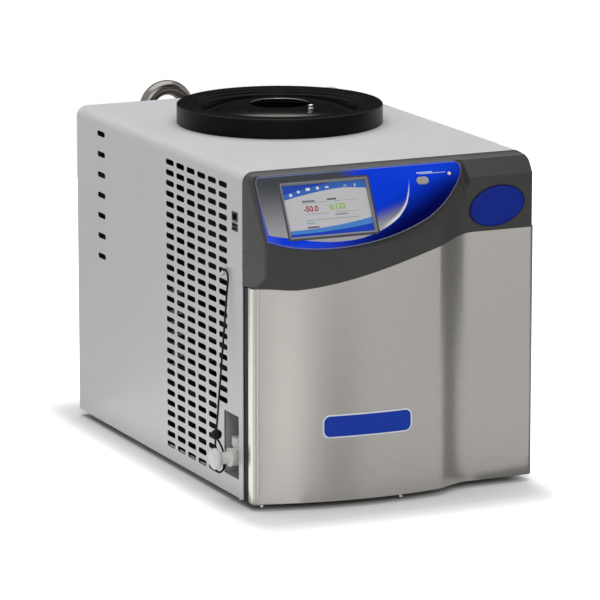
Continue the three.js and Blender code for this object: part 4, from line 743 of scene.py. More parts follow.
def steel_plan():
    """The plan line of the steel: left return, round corner, bow, step, wing and right corner."""
    left, right = LEFT + 0.5, RIGHT - 0.5
    slope = 2 * (CORNER_END + 20) / FLATNESS
    bend = [(left, -20), (left, steel_y(CORNER_END) - slope * CORNER), (CORNER_END, steel_y(CORNER_END))]
    corner = grooved(bezier(bend, np.linspace(0, 1, 60)))
    x = stations(CORNER_END, (STEP_AT, 70), (98, 60), (right - 7, 20))[1:-1]
    return np.concatenate([
        [[left, -15.5], [left, -17.6]], corner, np.column_stack([x, steel_y(x)]),
        arc(right - 7, -25.5, 7, -PI / 2, 0, 12), [[right, -17.6], [right, -15.5]]])


def steel_front():
    """The plan line carried up to 0.3 mm under the housing's edge, with a lip turned in at the bottom by
    9.5 mm, round a bend of 1.2 mm; the sheet is 1 mm thick."""
    line, bend, lip = steel_plan(), 1.2, 9.5
    inward = inwards(line)
    level, one = np.zeros(len(line)), np.ones((len(line), 1))
    from_ends = smooth((line[:, 0] - line[0, 0] - 1) / 9) * smooth((line[-1, 0] - 1 - line[:, 0]) / 9)
    deep = lip * from_ends * (np.abs(inward[:, 1]) > 0.3)
    rows = [(lerp(bend, bend + deep, s)[:, None], level) for s in (1.0, 0.5, 0.0)]
    rows += [(one * b, level + c) for b, c in arc(bend, bend, bend, -PI / 2, -PI, 4)[1:]]
    top = swoosh_z(line[:, 0]) - GAP
    rows += [(one * 0, lerp(bend, top, s)) for s in np.linspace(0, 1, 22)[1:]]
    grid = np.stack([np.column_stack([line + inward * into, z]) for into, z in rows])[::-1]
    panel = grid_piece("steel_front", grid, STEEL, solid=False, angle=50)
    wall = panel.modifiers.new("sheet", "SOLIDIFY")
    wall.thickness, wall.offset = 0.001, -1
    baked(panel)
    shaded(panel.data, 40)
    stands_for(panel, "steel_front_panel")


steel_front()


def points_of(piece):
    """The piece's points in cabinet millimetres."""
    return read(piece.data.vertices, "co").astype(float) * 1000 - SHIFT


def keep_into(plate, into):
    """Keeps how far each point lies in from the plate's edge, for its print."""
    plate.data.attributes.new("into", "FLOAT", "POINT").data.foreach_set("value", into.astype(np.float32))


def curved_plate():
    """The blank name plate on the bow: stations along x, each with a closed slab section whose half height
    is 5 + sqrt(81 - (|x| - 47.5)^2) near the ends and 14 between."""
    half_x, corner, middle_x, middle_z = 56.5, 9, -47, 91
    straight_x, straight_z = half_x - corner, 5
    to_middle, from_middle = np.linspace(PI / 2, 0, 70), np.linspace(0, PI / 2, 70)[1:]
    x = half_x * np.concatenate([-np.sin(to_middle), np.sin(from_middle)])
    half = straight_z + np.sqrt(corner ** 2 - np.maximum(np.abs(x) - straight_x, 0) ** 2)
    t = np.linspace(-1, 1, 41)
    out = np.concatenate([1.5 - 0.5 * np.abs(t) ** 40, np.full(41, 0.3)])
    z = half[:, None] * np.concatenate([t, t[::-1]])[None]
    x = x + middle_x
    grid = np.stack([x[:, None] + 0 * z, steel_y(x)[:, None] - out[None] + 0 * z, middle_z + z], -1)
    plate = closed("blank_name_plate", grid, PLATE, angle=50)
    p = points_of(plate)
    a, b = np.abs(p[:, 0] - middle_x) - straight_x, np.abs(p[:, 2] - middle_z) - straight_z
    keep_into(plate, corner - np.hypot(np.maximum(a, 0), np.maximum(b, 0)) - np.minimum(np.maximum(a, b), 0))
    stands_for(plate, "blank_plate")


curved_plate()

# ---------------------------------------------------------------- control housing
FACET_AT, HOUSING_WING = 90.5, -35.5
SCREEN = (-90.3, -41.1)
KEY = (36.2, -17.9)
LAMP = (72.8, -11.8)
LEVELS = stations(0, (3, 13), (4, 10), (5, 16), (8, 13))


def housing_y(x, z, inset):
    """The face at (x, z): the further back of the leaning plane and the bow (x+62)^2/1850 - 58.8 that steps
    to the wing at -35.5; past x = 95 the right-hand facet in place of the leaning plane."""
    face = stepped(x, -62, 1850, 58.8, HOUSING_WING, 50)
    leaning = -17 - (TOP - 7.3 - z) * math.tan(LEAN) + inset * (1 / math.cos(LEAN) - 1)
    slope = 16 / 18
    facet = -36 + (z - (TOP - 22.8)) * slope + inset * (math.hypot(1, slope) - 1)
    share = smooth((x - FACET_AT) / 4.5)
    return lerp(np.maximum(leaning, face), np.maximum(facet, HOUSING_WING), share) + inset


def fold_height(x):
    """Where the leaning face meets the bow, or the facet's fold past the joint."""
    upright = housing_y(np.minimum(x, FACET_AT), TOP - 147.5, 0)
    return np.where(x > FACET_AT, TOP - 22.8, TOP - 7.3 - (-17 - upright) / math.tan(LEAN))


def housing_heights(x, inset):
    """The height of every level at each x: up the face, round the fold and on to the top's edge."""
    low = swoosh_z(x) + inset
    fold = np.clip(fold_height(x), low + 28, TOP - 16)
    knots = (low, low + 8, low + 16, low + 24, fold, TOP - FOLD, TOP - 8.5, TOP - 5.5, TOP - 3.1 - inset)
    rows = np.stack(np.broadcast_arrays(*knots), -1)
    return np.stack([np.interp(LEVELS, np.arange(9), row) for row in rows])


def housing_front(x, z, inset):
    """The face's y, drawn back to the steel's round corner low on the left."""
    full = housing_y(x, z, inset)
    on_left = 1 - smooth((x + 172) / 38)
    low_down = 1 - smooth((z - swoosh_z(x) - inset) / 24)
    return lerp(full, np.maximum(full, steel_y(x) - 1.5 + inset), on_left * low_down)


def housing_side(hand, inset, back):
    """From the back along a side and round its corner to the face; the hand is -1 on the left and 1 on the
    right."""
    z = housing_heights(np.array([hand * RIGHT]), inset)
    y = housing_y(np.full_like(z, hand * (RIGHT - 8)), z, inset)
    if hand < 0:
        y = lerp(np.maximum(-28.5 + inset, y), y, smooth((z - swoosh_z(LEFT) - inset) / 24))
    r = FOLD - inset
    folded = r - np.sqrt(np.maximum(r ** 2 - np.maximum(z - TOP + FOLD, 0) ** 2, 0))

    def x_at(y):
        """The side's x, drawn in towards the front and round the fold."""
        return hand * (RIGHT - inset - 0.14 * np.maximum(-y, 0) - folded)

    t = np.linspace(0, 1, 5)[:, None]
    along_y = lerp(back, y + 4, t)
    flank = np.stack([x_at(along_y), along_y, z + 0 * t], -1)
    t = np.linspace(0, 1, 9)[1:, None]
    x, end = x_at(y), x_at(y) - hand * 4
    corner = np.stack([bent(x, x, end, t), bent(y + 4, y, housing_front(end, z, inset), t), z + 0 * t], -1)
    return np.concatenate([flank, corner])


def housing_shell(name, inset, back):
    """The housing as one surface over (u, level): u runs round the plan from the left side over the front
    to the right side, the level from the lower edge up the faces and back over the top."""
    x = stations(-168, (STEP_AT, 110), (FACET_AT, 34), (95, 8), (RIGHT - 18, 24))
    z = housing_heights(x, inset)
    x = x[:, None] + 0 * z
    face = np.stack([x, housing_front(x, z, inset), z], -1)
    body = np.concatenate([housing_side(-1, inset, back), face, housing_side(1, inset, back)[::-1]])
    edge = body[:, -1:]
    share = np.array([0.1, 0.25, 0.5, 0.75, 1.0])
    level = np.interp(share, [0, 0.5, 1.0], [TOP - 3.1 - inset, TOP - inset - 0.8, TOP - inset])
    flat = np.clip(edge[..., 0], FOLD - RIGHT, RIGHT - FOLD)
    over = np.stack([lerp(edge[..., 0], flat, share), lerp(edge[..., 1], back, share), level + 0 * flat], -1)
    foot = body[:, :1].copy()
    foot[..., 1] = back
    foot[..., 0] = np.clip(foot[..., 0], -RIGHT, RIGHT)
    return closed(name, np.concatenate([body, over, foot], 1), ABS, angle=24)


def oval(wide, high, centre):
    """A bar with round ends."""
    r = high / 2
    ends = [arc(wide / 2 - r, 0, r, -PI / 2, PI / 2, 20), arc(r - wide / 2, 0, r, PI / 2, 1.5 * PI, 20)]
    return np.concatenate(ends) + centre


def openings(window, low, high, material):
    """Bodies square to the leaning face that cut the screen's window, the key's oval and the lamp's
    hole."""
    lamp = arc(*LAMP, 2.5, 0, 2 * PI * 23 / 24, 23)
    outlines = {"window": window, "key": oval(16.2, 9.8, KEY), "lamp": lamp}
    return [slab(name, outline, low, high, material) for name, outline in outlines.items()]


def control_housing():
    """The outer shell with its edges rounded, hollowed by the same shape 3 mm in, and cut open."""
    shell = housing_shell("control_bezel", 0.0, -0.3)
    hollow = housing_shell("hollow", 3.0, 2.0)
    bevelled(shell, 0.9, 3, 24)
    baked(shell)
    cut(shell, hollow, *openings(rounded(111.2, 66.6, 1, 3, SCREEN), -9, 2, ABS), angle=24)
    stands_for(shell, "control_housing")


control_housing()


def lens_outline():
    """The overlay's edge: a straight left side and top, a belly below and a round right end."""
    left, right, top, bottom, r = LEFT + 7.3, 90.0, 4.2, -76.0, 9
    low = bottom - 21.5
    belly = [(left + 1.2, bottom), (left + 49, low), (right - 125, low), (right - 55, -64)]
    tail = [(right - 55, -64), (right - 32, -52), (right - 6, -27), (right, -8)]
    nose = [(right, -8), (right + 1, top), (right - 13, top)]
    curves = [bezier(points, np.linspace(0, 1, n))[1:] for points, n in ((belly, 50), (tail, 34), (nose, 20))]
    return np.concatenate([belly[:1], *curves, arc(left + r, top - r, r, PI / 2, PI, 12)])


def control_overlay():
    """The overlay: a 2 mm slab on the leaning face with a rounded edge, open round the screen, key and
    lamp."""
    sheet = slab("blue_overlay", lens_outline(), GAP, GAP + 2, LENS)
    bevelled(sheet, 0.7, 3, 50)
    baked(sheet)
    cut(sheet, *openings(rounded(117.2, 72.6, 3, 4, SCREEN), -2, 5, LENS), solver="EXACT")
    stands_for(sheet, "control_overlay")


control_overlay()


def edge_bead():
    """The overlay's moulded edge: a low bead 1.3 mm wide and 0.2 mm high, carried once round the outline a
    quarter of a millimetre in from its edge."""
    line = lens_outline()
    line = np.concatenate([line, line[:1]])
    profile = np.array([(0.25, 2.25), (0.55, 2.42), (0.9, 2.46), (1.25, 2.42), (1.55, 2.25)])
    rows = line[:-1, None] + inwards(line)[:-1, None] * profile[None, :, :1]
    grid = np.concatenate([rows, np.broadcast_to(profile[None, :, 1:], (*rows.shape[:2], 1))], -1)
    bead = grid_piece("overlay_edge_bead", on_face(grid), EDGE, wrap=(True, True), angle=60)
    stands_for(bead, body="casing")


edge_bead()


def screen_bezel():
    """The display's frame: a closed section of slopes and flats at offsets in and heights out, carried
    round a rectangle. The outer flange lies flush with the overlay in slate, and the silver lip inside it
    falls to the glass."""
    section = [(5.0, 0.3), (5.0, 2.2), (4.8, 2.35), (2.9, 2.35), (2.5, 2.75), (2.1, 2.9), (1.7, 2.75),
               (0.1, 0.6), (0.0, 0.3)]
    loops = []
    for out, high in section:
        loops.append(raised(rounded(106.6 + 2 * out, 62 + 2 * out, 0.2 + 0.56 * out, 6, SCREEN), high))
    bezel = grid_piece("screen_bezel", on_face(loops), SILVER, wrap=(True, True), angle=28)
    bezel.data.materials.append(SLATE)
    height = (read(bezel.data.polygons, "center") * 1000 - SHIFT - FACE_AT) @ FACE_OUT
    on_flange = (height > 2.25) & (height < 2.4)
    bezel.data.polygons.foreach_set("material_index", on_flange.astype(np.int32))
    stands_for(bezel, "screen_frame")


screen_bezel()


def paint_faces(piece, colours):
    """Gives each face its own colour in the ink attribute."""
    layer = piece.data.attributes.new("ink", "FLOAT_COLOR", "CORNER")
    sizes = read(piece.data.polygons, "loop_total", 1, np.int32).ravel()
    layer.data.foreach_set("color", np.repeat(np.asarray(colours, np.float32), sizes, axis=0).ravel())


def printed(name, shapes, heights, material):
    """Flat faces on the leaning face, each an outline and its colour at its own height."""
    points, faces = [], []
    for (outline, _), height in zip(shapes, heights):
        first = sum(len(p) for p in points)
        points.append(on_face(raised(outline, height)))
        faces.append(list(range(first, first + len(outline))))
    piece = built(name, np.concatenate(points), faces, material, solid=False)
    paint_faces(piece, [linear(colour) for _, colour in shapes])
    stands_for(piece, body="casing")


def display():
    """The picture on the glass, built as flat faces a few hundredths of a millimetre apart: pale field, a
    curved header and footer in blue with small pale marks, fine rules, and short bars where captions
    sit."""
    left, bottom, top = SCREEN[0] - 55.3, SCREEN[1] - 33, SCREEN[1] + 33
    s = np.linspace(left, SCREEN[0] + 55.3, 40)
    share = (s - left) / 110.6
    rise = 10.5 * np.sin(PI / 2 * np.minimum(share * 1.25, 1))
    header = top - 19.5 + rise - 2.5 * smooth((share - 0.7) / 0.3)

    def band(low, high):
        """The outline between two curves."""
        return np.concatenate([np.column_stack([s, low + 0 * s]), np.column_stack([s, high + 0 * s])[::-1]])

    shapes = [(band(bottom, top), "#CBCBCE"), (band(header, top), "#3F6FC4"),
              (band(header + 6.0 + 3 * share, top), "#2A4FC0"),
              (band(bottom, bottom + 9.5 + 9.5 * share ** 2.2), "#4F8BD6"),
              (band(bottom, bottom + 5.0 + 6.5 * share ** 2.4), "#1D46C8")]
    # Each mark or bar: its middle from the screen's, its width and height, and its colour.
    marks = [
        (-44, 19.5, 3.6, 3.6, "#DCE9F8"), (-33.5, 22.8, 3.8, 3.0, "#DCE9F8"),
        (-21, 25.0, 5.4, 3.6, "#E8F0FA"),
        (-8.5, 25.6, 3.4, 3.4, "#E8F0FA"), (3.5, 25.8, 4.6, 2.4, "#CFE0F4"), (27, 25.9, 4.2, 2.6, "#7FA8C8"),
        (39.5, 25.7, 1.6, 3.6, "#DDEAF6")]
    bars = [
        (-23.5, 10.6, 16, 1.9, "#77777A"), (6.5, 11.2, 12, 1.9, "#626266"), (-15, 8.6, 31, 0.5, "#A2A2A6"),
        (24.5, 8.6, 31, 0.5, "#A2A2A6"), (-15, -5.2, 31, 0.5, "#A2A2A6"), (24.5, -5.0, 31, 0.5, "#A2A2A6"),
        (4.5, -12.4, 71, 0.5, "#9A9AA0"), (15.5, -7.7, 16, 1.3, "#8C8C92"),
        (-25.5, -16.0, 11, 1.4, "#7FB6BC"),
        (-23.0, -21.0, 15, 1.8, "#6E5A5E")]
    for rows, r in ((marks, 0.5), (bars, 0.2)):
        for x, v, wide, high, colour in rows:
            shapes.append((rounded(wide, high, r, 2, (SCREEN[0] + x, SCREEN[1] + v)), colour))
    printed("display_picture", shapes, [0.06 + 0.02 * min(i, 6) for i in range(len(shapes))], DISPLAY)


display()


def digits(name, text, colour, x, v):
    """Plain figures laid flat on the glass: text made a mesh, then placed on the leaning face."""
    curve = bpy.data.curves.new(name, "FONT")
    curve.body, curve.size, curve.offset, curve.resolution_u = text, 9.4, 0.18, 3
    words = placed(name, curve)
    bpy.context.view_layer.update()
    mesh = bpy.data.meshes.new_from_object(words.evaluated_get(bpy.context.evaluated_depsgraph_get()))
    bpy.data.objects.remove(words)
    flat = read(mesh.vertices, "co")[:, :2] + (x, v) + SCREEN
    mesh.vertices.foreach_set("co", ((on_face(raised(flat, 0.24)) + SHIFT) / 1000).astype(np.float32).ravel())
    mesh.materials.clear()
    mesh.materials.append(DISPLAY)
    made = placed(name, mesh)
    paint_faces(made, [linear(colour)] * len(mesh.polygons))
    stands_for(made, body="casing")


digits("display_temperature", "-50.0", "#A8222A", -31.5, -1.8)
digits("display_vacuum", "0.132", "#8FC63F", 2.0, -1.4)

# The display's body behind the picture, with its edge eased.
glass = slab("touch_glass", rounded(110.6, 66, 1, 3, SCREEN), -9, 0, BLACK_PLASTIC)
bevelled(glass, 0.3, 1, 50)
stands_for(glass, "touch_screen")


def run_key():
    """The key's cap: oval rings that shrink as they rise to a shallow crown, with a retaining flange
    behind."""
    rings = [(1.6, -5.3), (1.6, -3.3), (0.0, -3.3), (0.0, 2.9), (-0.35, 3.5), (-1.0, 3.74), (-2.4, 3.8),
             (-4.2, 3.72)]
    loops = [raised(oval(15.6 + 2 * out, 9.2 + 2 * out, KEY), high) for out, high in rings]
    stands_for(closed("run_key_cap", on_face(loops), KEY_GREY, angle=40), "run_button")


run_key()


def lamp_lens():
    """The lamp: a small clear dome, r = R cos t and h = sin t over a short stem."""
    r, t, a = 2.2, np.linspace(0, PI / 2, 8)[1:], around(24)[:, None]
    profile = np.concatenate([[(0, -3), (r, -3), (r, 2)], np.column_stack([r * np.cos(t), 2 + np.sin(t)])])
    out, up = profile.T
    grid = np.stack([LAMP[0] + out * np.cos(a), LAMP[1] + out * np.sin(a), up + 0 * a], -1)
    stands_for(grid_piece("status_lamp", on_face(grid), NYLON, wrap=(True, False), angle=50), "status_light")


lamp_lens()
# A fine line from the key towards the lamp, and a short bar where a caption would sit, printed in white.
printed("legend_line", [(rounded(34, 0.7, 0.3, 2, (51, -9.6)), "#C9D2EC"),
                        (rounded(21, 1.5, 0.6, 2, (40.5, -8.1)), "#C9D2EC")], [2.34, 2.34], PRINT)


def oval_badge():
    """The plain oval plate: ellipses x = a cos t, z = b sin t turned by 10 degrees, stepping in from the
    wall to a rim and a flat field; the rim is darker than the field."""
    t = around(72)
    c, s = math.cos(math.radians(10)), math.sin(math.radians(10))
    middle_x, middle_z, half_wide, half_high = 130.4, TOP - 58, 37, 24.2
    rings = [(0.0, 0.0), (1.0, 0.0), (1.0, 0.75), (0.985, 1.1), (0.95, 1.2), (0.94, 1.05), (0.5, 1.05),
             (0.0, 1.05)]
    rows = []
    for scale, out in rings:
        u, w = half_wide * scale * np.cos(t), half_high * scale * np.sin(t)
        rows.append(np.column_stack([middle_x + u * c - w * s, np.full(72, HOUSING_WING - GAP - out),
                                     middle_z + u * s + w * c]))
    badge = closed("oval_badge_plate", np.stack(rows), BADGE, angle=40)
    x, _, z = (points_of(badge) - (middle_x, 0, middle_z)).T
    keep_into(badge, (1 - np.hypot((x * c + z * s) / half_wide, (z * c - x * s) / half_high)) * 28)
    stands_for(badge, "oval_badge")


oval_badge()

# ---------------------------------------------------------------- cold trap
low, top = TOP + 0.3, TOP + 24.5
under = low + 1.8
ring = [(127.5, low), (127.5, top - 1.5), (126, top), (107, top), (106.4, top - 0.6), (106.4, top - 2.4),
        (104, top - 3), (104, top - 5.5), (97.2, top - 6.2), (97.2, under), (120.5, under), (120.5, low)]
stands_for(turned("trap_ring", softened(ring, 1.1), RUBBER, TRAP, sides=160, angle=30), "chamber_ring")
seal = [(96.3, under), (96.3, under + 7.3), (94.5, under + 7.3), (93, under + 4.3), (93, under)]
stands_for(turned("trap_seal", softened(seal, 0.6), RUBBER, TRAP, sides=128, angle=30), "chamber_seal")
BAFFLE_RIM, BAFFLE_HOLE, BAFFLE_LOW, BAFFLE_THICK = 94.0, 36.5, under + 7.6, 1.5


def dome_z(r):
    """Height of the baffle's underside: it rises by 12.2 (1 - (1 - s)^2), s from 0 at its rim to 1 at its
    hole."""
    s = (BAFFLE_RIM - r) / (BAFFLE_RIM - BAFFLE_HOLE)
    return BAFFLE_LOW + 12.2 * (1 - (1 - s) ** 2)


def baffle():
    """The domed plate, the edge of its hole rolled round."""
    half = BAFFLE_THICK / 2
    r = np.linspace(BAFFLE_RIM, BAFFLE_HOLE + half, 48)
    below = np.column_stack([r, dome_z(r)])
    nose = arc(BAFFLE_HOLE + half, dome_z(BAFFLE_HOLE) + half, half, -PI / 2, -1.5 * PI, 6)[1:-1]
    profile = np.concatenate([below, nose, (below + (0, BAFFLE_THICK))[::-1]])
    # The baffle takes the darkened spun steel: painted shade.
    stands_for(turned("trap_baffle", profile, SPUN, TRAP, sides=160, angle=40), "vapour_baffle")


baffle()


def knob():
    """The baffle's lifting pin: a waisted knob turned about its own axis."""
    reach, angle = 54.3, math.radians(-70)
    base = dome_z(reach) + BAFFLE_THICK + 0.6
    rings = [(0, 0), (3.2, 0), (3.2, 0.8), (2.0, 1.6), (2.0, 2.6), (3.1, 3.4), (3.1, 4.6), (2.4, 5.4),
             (0, 5.5)]
    centre = (reach * math.cos(angle), TRAP[1] + reach * math.sin(angle), 0)
    profile = [(r, base + up) for r, up in rings]
    stands_for(turned("baffle_knob", profile, POLISHED, centre, sides=32, angle=60), "baffle_pin")


knob()


# ---------------------------------------------------------------- vacuum line and drain
def vacuum_line():
    """From the trap's port straight back, a quarter bend up, a half turn over to the left and down."""
    line_y, port_z, x, small, large = 530.5, TOP - 40.3, -24.9, 19, 27.8
    mouth = TRAP[1] + math.sqrt(96.5 ** 2 - x * x) + 16.3
    straight = np.linspace(mouth, line_y - small, 8)[:-1]
    quarter = arc(line_y - small, port_z + small, small, -PI / 2, 0, 16)
    half = arc(x - large, TOP + 11.5 - large, large, 0, PI, 40)
    points = np.concatenate([
        np.column_stack([np.full(7, x), straight, np.full(7, port_z)]),
        np.column_stack([np.full(17, x), quarter]),
        np.column_stack([half[:, 0], np.full(41, line_y), half[:, 1]]),
        [[x - 2 * large, line_y, 360], [x - 2 * large, line_y, 341]]])
    # The pipe takes the darkened stainless: painted shade standing for the dark surroundings it mirrors.
    stands_for(along("vacuum_pipe", points, 9.5, TUBE, sides=40, bore=8.0, angle=60), "vacuum_tube")


vacuum_line()
sleeve = softened([(13, 305), (13, 373), (10.1, 373), (10.1, 340.7), (8, 340.7), (8, 305)], 0.8)
stands_for(turned("pump_hose_sleeve", sleeve, NEOPRENE, (-80.5, 530.5, 0), sides=48), "hose_sleeve")
plug = [(0, -12), (6.2, -12), (6.2, 0), (11.3, 0), (11.3, 2.7), (7.4, 3.7), (7.2, 9), (7.4, 14.2),
        (9.8, 15.2), (12.8, 18.2), (12.8, 21.7), (9.8, 24.7), (0, 24.7)]
mouth = (LEFT - 1.3, 32, 45)
plug = turned("drain_plug_cap", softened(plug, 1.6, 5), NYLON, mouth, axis="-x", sides=56, angle=50)
stands_for(plug, "drain_plug")


# ---------------------------------------------------------------- pieces finished from the CAD shape
def restored(name, material, angle, bevel=0.0):
    """A merged copy of a CAD node's mesh, shaded smooth up to an angle, with its edges eased by a bevel."""
    copy = placed(name + "_finished", NODES[name].data.copy())
    shape = bmesh.new()
    shape.from_mesh(copy.data)
    bmesh.ops.remove_doubles(shape, verts=shape.verts, dist=1e-5)
    bmesh.ops.dissolve_limit(shape, angle_limit=math.radians(1), verts=shape.verts, edges=shape.edges)
    shape.to_mesh(copy.data)
    shape.free()
    copy.data.materials.clear()
    copy.data.materials.append(material)
    shaded(copy.data, angle)
    if bevel:
        bevelled(copy, bevel)
    return stands_for(copy, name)


# The finish, the sharpest angle shaded smooth, the bevel, and the nodes that have them.
for material, angle, bevel, names in [
        # The front frame's near-black paint is painted shade for the gap behind the front.
        (ZINC, 30, 0, "base_pan"), (PAINT, 30, 0, "rear_panel"), (DARK_PAINT, 30, 0, "front_frame"),
        (NYLON, 50, 0.3, "panel_pin_1 panel_pin_2 panel_pin_3"), (POLISHED, 50, 0, "collector_chamber"),
        (FOAM, 50, 0, "chamber_insulation"), (COPPER, 70, 0, "evaporator_coil"),
        (NEOPRENE, 50, 0, "tube_grommet"), (ZINC, 50, 0.4, "vacuum_sensor"), (ENAMEL, 50, 0, "compressor"),
        (NEOPRENE, 50, 0, "compressor_grommet_1 compressor_grommet_2"),
        (NEOPRENE, 50, 0, "compressor_grommet_3 compressor_grommet_4"),
        # The condenser, fan shroud and bracket are near black partly as painted shade, so that the vents read
        # as black.
        (BLACK_PLASTIC, 30, 2.5, "terminal_cover"), (BLACKED, 30, 0, "condenser"),
        (BLACKED, 40, 0, "fan_shroud fan_bracket"), (ENAMEL, 50, 0.6, "fan_motor"),
        (BLACK_PLASTIC, 40, 0, "fan_rotor"), (COPPER, 50, 0, "filter_drier"),
        (COPPER, 70, 0, "capillary_tube suction_line discharge_line"), (POCKET_PAINT, 30, 0, "drain_pocket"),
        (HOSE, 70, 0, "drain_hose"), (NYLON, 50, 0.2, "tether_clip"),
        (BLACK_PLASTIC, 30, 0.3, "network_port usb_port"), (BOARD, 30, 0, "control_board"),
        (ZINC, 30, 1.2, "power_supply"), (BLACK_PLASTIC, 30, 0.5, "power_inlet"),
        (BLACK_PLASTIC, 30, 0.4, "power_switch"), (NEOPRENE, 50, 0.8, "foot_1 foot_2 foot_3 foot_4")]:
    for name in names.split():
        restored(name, material, angle, bevel)


def drain_elbow():
    """The elbow as it comes from the mould: its barrels run into one another in soft fillets, made by
    laying a 0.5 mm grid over the CAD shape and evening it out over about 1.5 mm."""
    elbow = restored("drain_elbow", NYLON, 180)
    grid = elbow.modifiers.new("grid", "REMESH")
    grid.mode, grid.voxel_size = "VOXEL", 0.0005
    even = elbow.modifiers.new("even", "SMOOTH")
    even.factor, even.iterations = 0.5, 12
    baked(elbow)
    elbow.data.shade_smooth()


drain_elbow()


def knotted_ball():
    """The cord's end knot: a ball of radius 6.5 whose strands show as ridges, r = 5.9 + 0.6 |sin(3a + 4 sin
    2t)| with a the way round and t the way down, fading out at the poles."""
    t = np.linspace(0, PI, 49)[None, :]
    a = around(96)[:, None]
    r = 5.9 + 0.6 * np.abs(np.sin(3 * a + 4 * np.sin(2 * t))) * np.sin(t) ** 0.5
    grid = np.stack([r * np.sin(t) * np.cos(a), r * np.sin(t) * np.sin(a), r * np.cos(t) + 0 * a], -1)
    ball = grid_piece("knotted_ball", grid + (-199, 42, 72), KNOT, wrap=(True, False), angle=60)
    stands_for(ball, "tether_ball")


knotted_ball()


def louvre_hood(name, middle):
    """The hood pressed out over a rear slot, whose middle is at a height: a quarter ellipse in section,
    from the panel above the slot out to a lip below it, y = reach sin t, z = top - drop (1 - cos t). The
    reach falls from 5 mm towards both ends with (1 - s^6)^(1/2), and the sheet is 0.9 mm thick."""
    s = np.linspace(-1, 1, 33)[:, None]
    t = np.linspace(0, PI / 2, 9)[None, :]
    reach = 5.0 * (0.15 + 0.85 * np.sqrt(1 - 0.98 * s ** 6))
    skins = []
    for inset, drop in ((0, 8.6), (0.9, 7.7)):
        y = REAR - 0.1 + (reach - inset) * np.sin(t)
        z = middle + 4.2 - inset - drop * (1 - np.cos(t)) + 0 * s
        skins.append(np.stack([61 * s - 94 + 0 * t, y, z], -1))
    hood = closed(name, np.concatenate([skins[0], skins[1][:, ::-1]], 1), PAINT)
    stands_for(hood, body="casing")


for number, middle in enumerate(range(44, 156, 14), 1):
    louvre_hood(f"louvre_hood_{number}", middle)


# ---------------------------------------------------------------- floor, world and lamps
def floor_finish():
    """Matt white card. To the camera it brightens to pure white away from the object, by the distance in
    metres from a rectangle under it, where a distance sideways counts 2.1 times as much."""
    material, tree, shader, place = finish("matt_card_white", 0.0, Roughness=0.9)
    middle, half, sideways, none = (-0.003, -0.014, 0), (0.168, 0.283, 1), (2.1, 1, 1), (0, 0, 0)
    near = place
    for operation, other in (("SUBTRACT", middle), ("ABSOLUTE", none), ("SUBTRACT", half),
                             ("MULTIPLY", sideways), ("MAXIMUM", none)):
        near = vector_of(tree, near, other, operation)
    away = node(tree, "VectorMath", {0: near}, "Value", operation="LENGTH")
    rise = [(0.0, 0.0), (0.022, 0.02), (0.05, 0.14), (0.085, 0.42), (0.2, 1.0)]
    glow = curve_of(tree, away, (0.0, 0.5), rise, (0, 1))
    shader.inputs["Emission Color"].default_value = (1, 1, 1, 1)
    seen = joined(tree, glow, node(tree, "LightPath", output="Is Camera Ray"), "MULTIPLY")
    feed(shader, {"Base Color": mixed(tree, clouds(tree, place, 30), "#F2F2F2", "#F4F4F4"),
                  "Emission Strength": seen})
    return material


a = np.linspace(-1800, 1800, 13)
x, y = np.meshgrid(a, a, indexing="ij")
floor = grid_piece("floor", np.stack([x, y + 255, np.full_like(x, -8.05)], -1), floor_finish(), solid=False)

# The world is plain white, dimmer to the light it gives than to the rays that see or mirror it.
world = bpy.data.worlds.new("studio")
bpy.context.scene.world = world
world.use_nodes = True
tree = world.node_tree
rays = node(tree, "LightPath").node.outputs
seen = joined(tree, rays["Is Camera Ray"], rays["Is Glossy Ray"], "MAXIMUM")
seen = joined(tree, seen, rays["Is Transmission Ray"], "MAXIMUM")
background = tree.nodes["Background"]
feed(background, {"Strength": spread(tree, seen, 0.3, 1.0)})
background.inputs["Color"].default_value = (1, 1, 1, 1)


def softbox(name, place, aim, size, power):
    """A square lamp at a place, facing a point, both in metres in the row frame."""
    lamp = bpy.data.lights.new(name, "AREA")
    lamp.size, lamp.energy = size, power
    made = placed(name, lamp)
    made.location = place
    made.rotation_euler = (Vector(aim) - Vector(place)).to_track_quat("-Z", "Y").to_euler()


softbox("top_softbox", (0.0, 0.3, 2.3), (0, 0, 0.3), 2.4, 37)
softbox("key_softbox", (-0.8, -2.6, 1.5), (0, 0, 0.2), 1.6, 19)
softbox("fill_softbox", (2.4, -1.6, 1.2), (0, 0, 0.2), 1.6, 8)


def mirror_card(name, corners, material):
    """A card from two pairs of corners, in metres in the row frame, to be seen by polished faces alone."""
    piece = grid_piece(name, np.array(corners) * 1000 - SHIFT, material, solid=False)
    piece.visible_camera = piece.visible_diffuse = piece.visible_shadow = piece.visible_transmission = False


def floor_card(name, near, far, material):
    """A strip laid just over the floor, from a pair of (x, y) in front of the object to a pair further out:
    the bowed steel mirrors it as an upright band."""
    mirror_card(name, [[(*p, 0.0008) for p in near], [(*p, 0.0008) for p in far]], material)


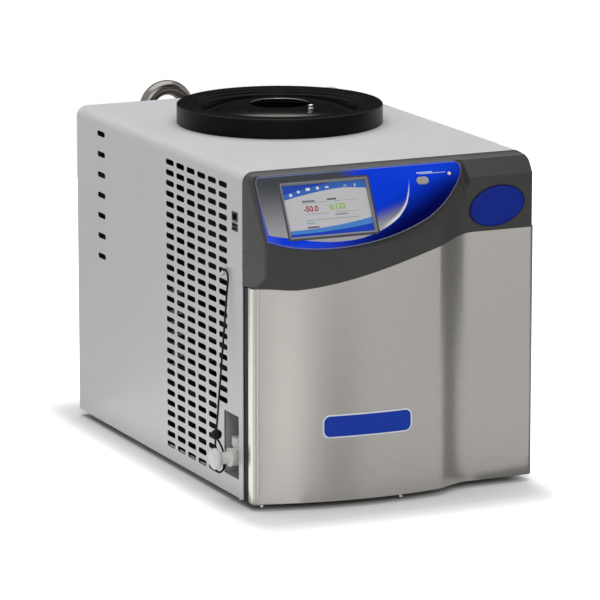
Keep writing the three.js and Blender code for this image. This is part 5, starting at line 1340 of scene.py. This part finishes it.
def card(name, place, aim, wide, high, material):
    """A card at a place, facing a point: it gives polished faces something to darken against."""
    w, h = wide / 2, high / 2
    turn = np.array((Vector(aim) - Vector(place)).to_track_quat("Z", "Y").to_matrix())
    corners = np.array([[(-w, -h, 0), (-w, h, 0)], [(w, -h, 0), (w, h, 0)]])
    mirror_card(name, corners @ turn.T + place, material)


def lit(name, strength, near_share=1.0):
    """White card lit from within, its evenness broken by faint clouds 200 mm across. Its light grows along
    -Y, from the near share of the strength in front of the object to all of it 0.45 m on."""
    material, tree, shader, place = finish(name, 0.0, Roughness=1.0)
    even = spread(tree, clouds(tree, place, 200, 1.0), 0.97 * strength, 1.03 * strength)
    y = node(tree, "SeparateXYZ", {0: place}, 1)
    rise = node(tree, "MapRange", {"Value": y, "From Min": -0.3, "From Max": -0.75, "To Min": near_share})
    shader.inputs["Base Color"].default_value = (0, 0, 0, 1)
    shader.inputs["Emission Color"].default_value = (1, 1, 1, 1)
    feed(shader, {"Emission Strength": joined(tree, even, rise, "MULTIPLY")})
    return material


# Black flock paper, which mirrors nothing.
FLOCK = grained("black_flock", "#0C0C0C", "#080808", 40, 2.0, 0.1, (0.9, 1.0))
card("rear_flag", (1.2, 2.6, 1.15), (0, 0, 0.4), 3.4, 2.2, FLOCK)
card("side_flag", (1.0, -0.5, 0.35), (0.1, -0.25, 0.3), 0.75, 0.8, lit("shade_flag", 0.2))
card("front_flag", (1.05, -1.75, 1.75), (0, -0.25, 0.35), 2.2, 1.9, FLOCK)
for name, near, far, material in [
        ("left_band", [(-0.175, -0.29), (-0.115, -0.29)], [(-0.36, -1.6), (-0.15, -1.6)],
         lit("lit_card", 1.5, 0.62)),
        ("middle_band", [(-0.09, -0.3), (-0.045, -0.3)], [(0.03, -1.6), (0.27, -1.6)], lit("dim_card", 0.5)),
        ("step_band", [(0.13, -0.305), (0.13, -0.25)], [(1.5, -0.62), (1.5, 0.1)], lit("shade_card", 0.24)),
        ("side_band", [(-0.2, -0.28), (-0.2, 0.3)], [(-1.6, -0.9), (-1.6, 1.2)], lit("bright_card", 1.9))]:
    floor_card(name, near, far, material)

bpy.context.scene.view_settings.view_transform = "Standard"
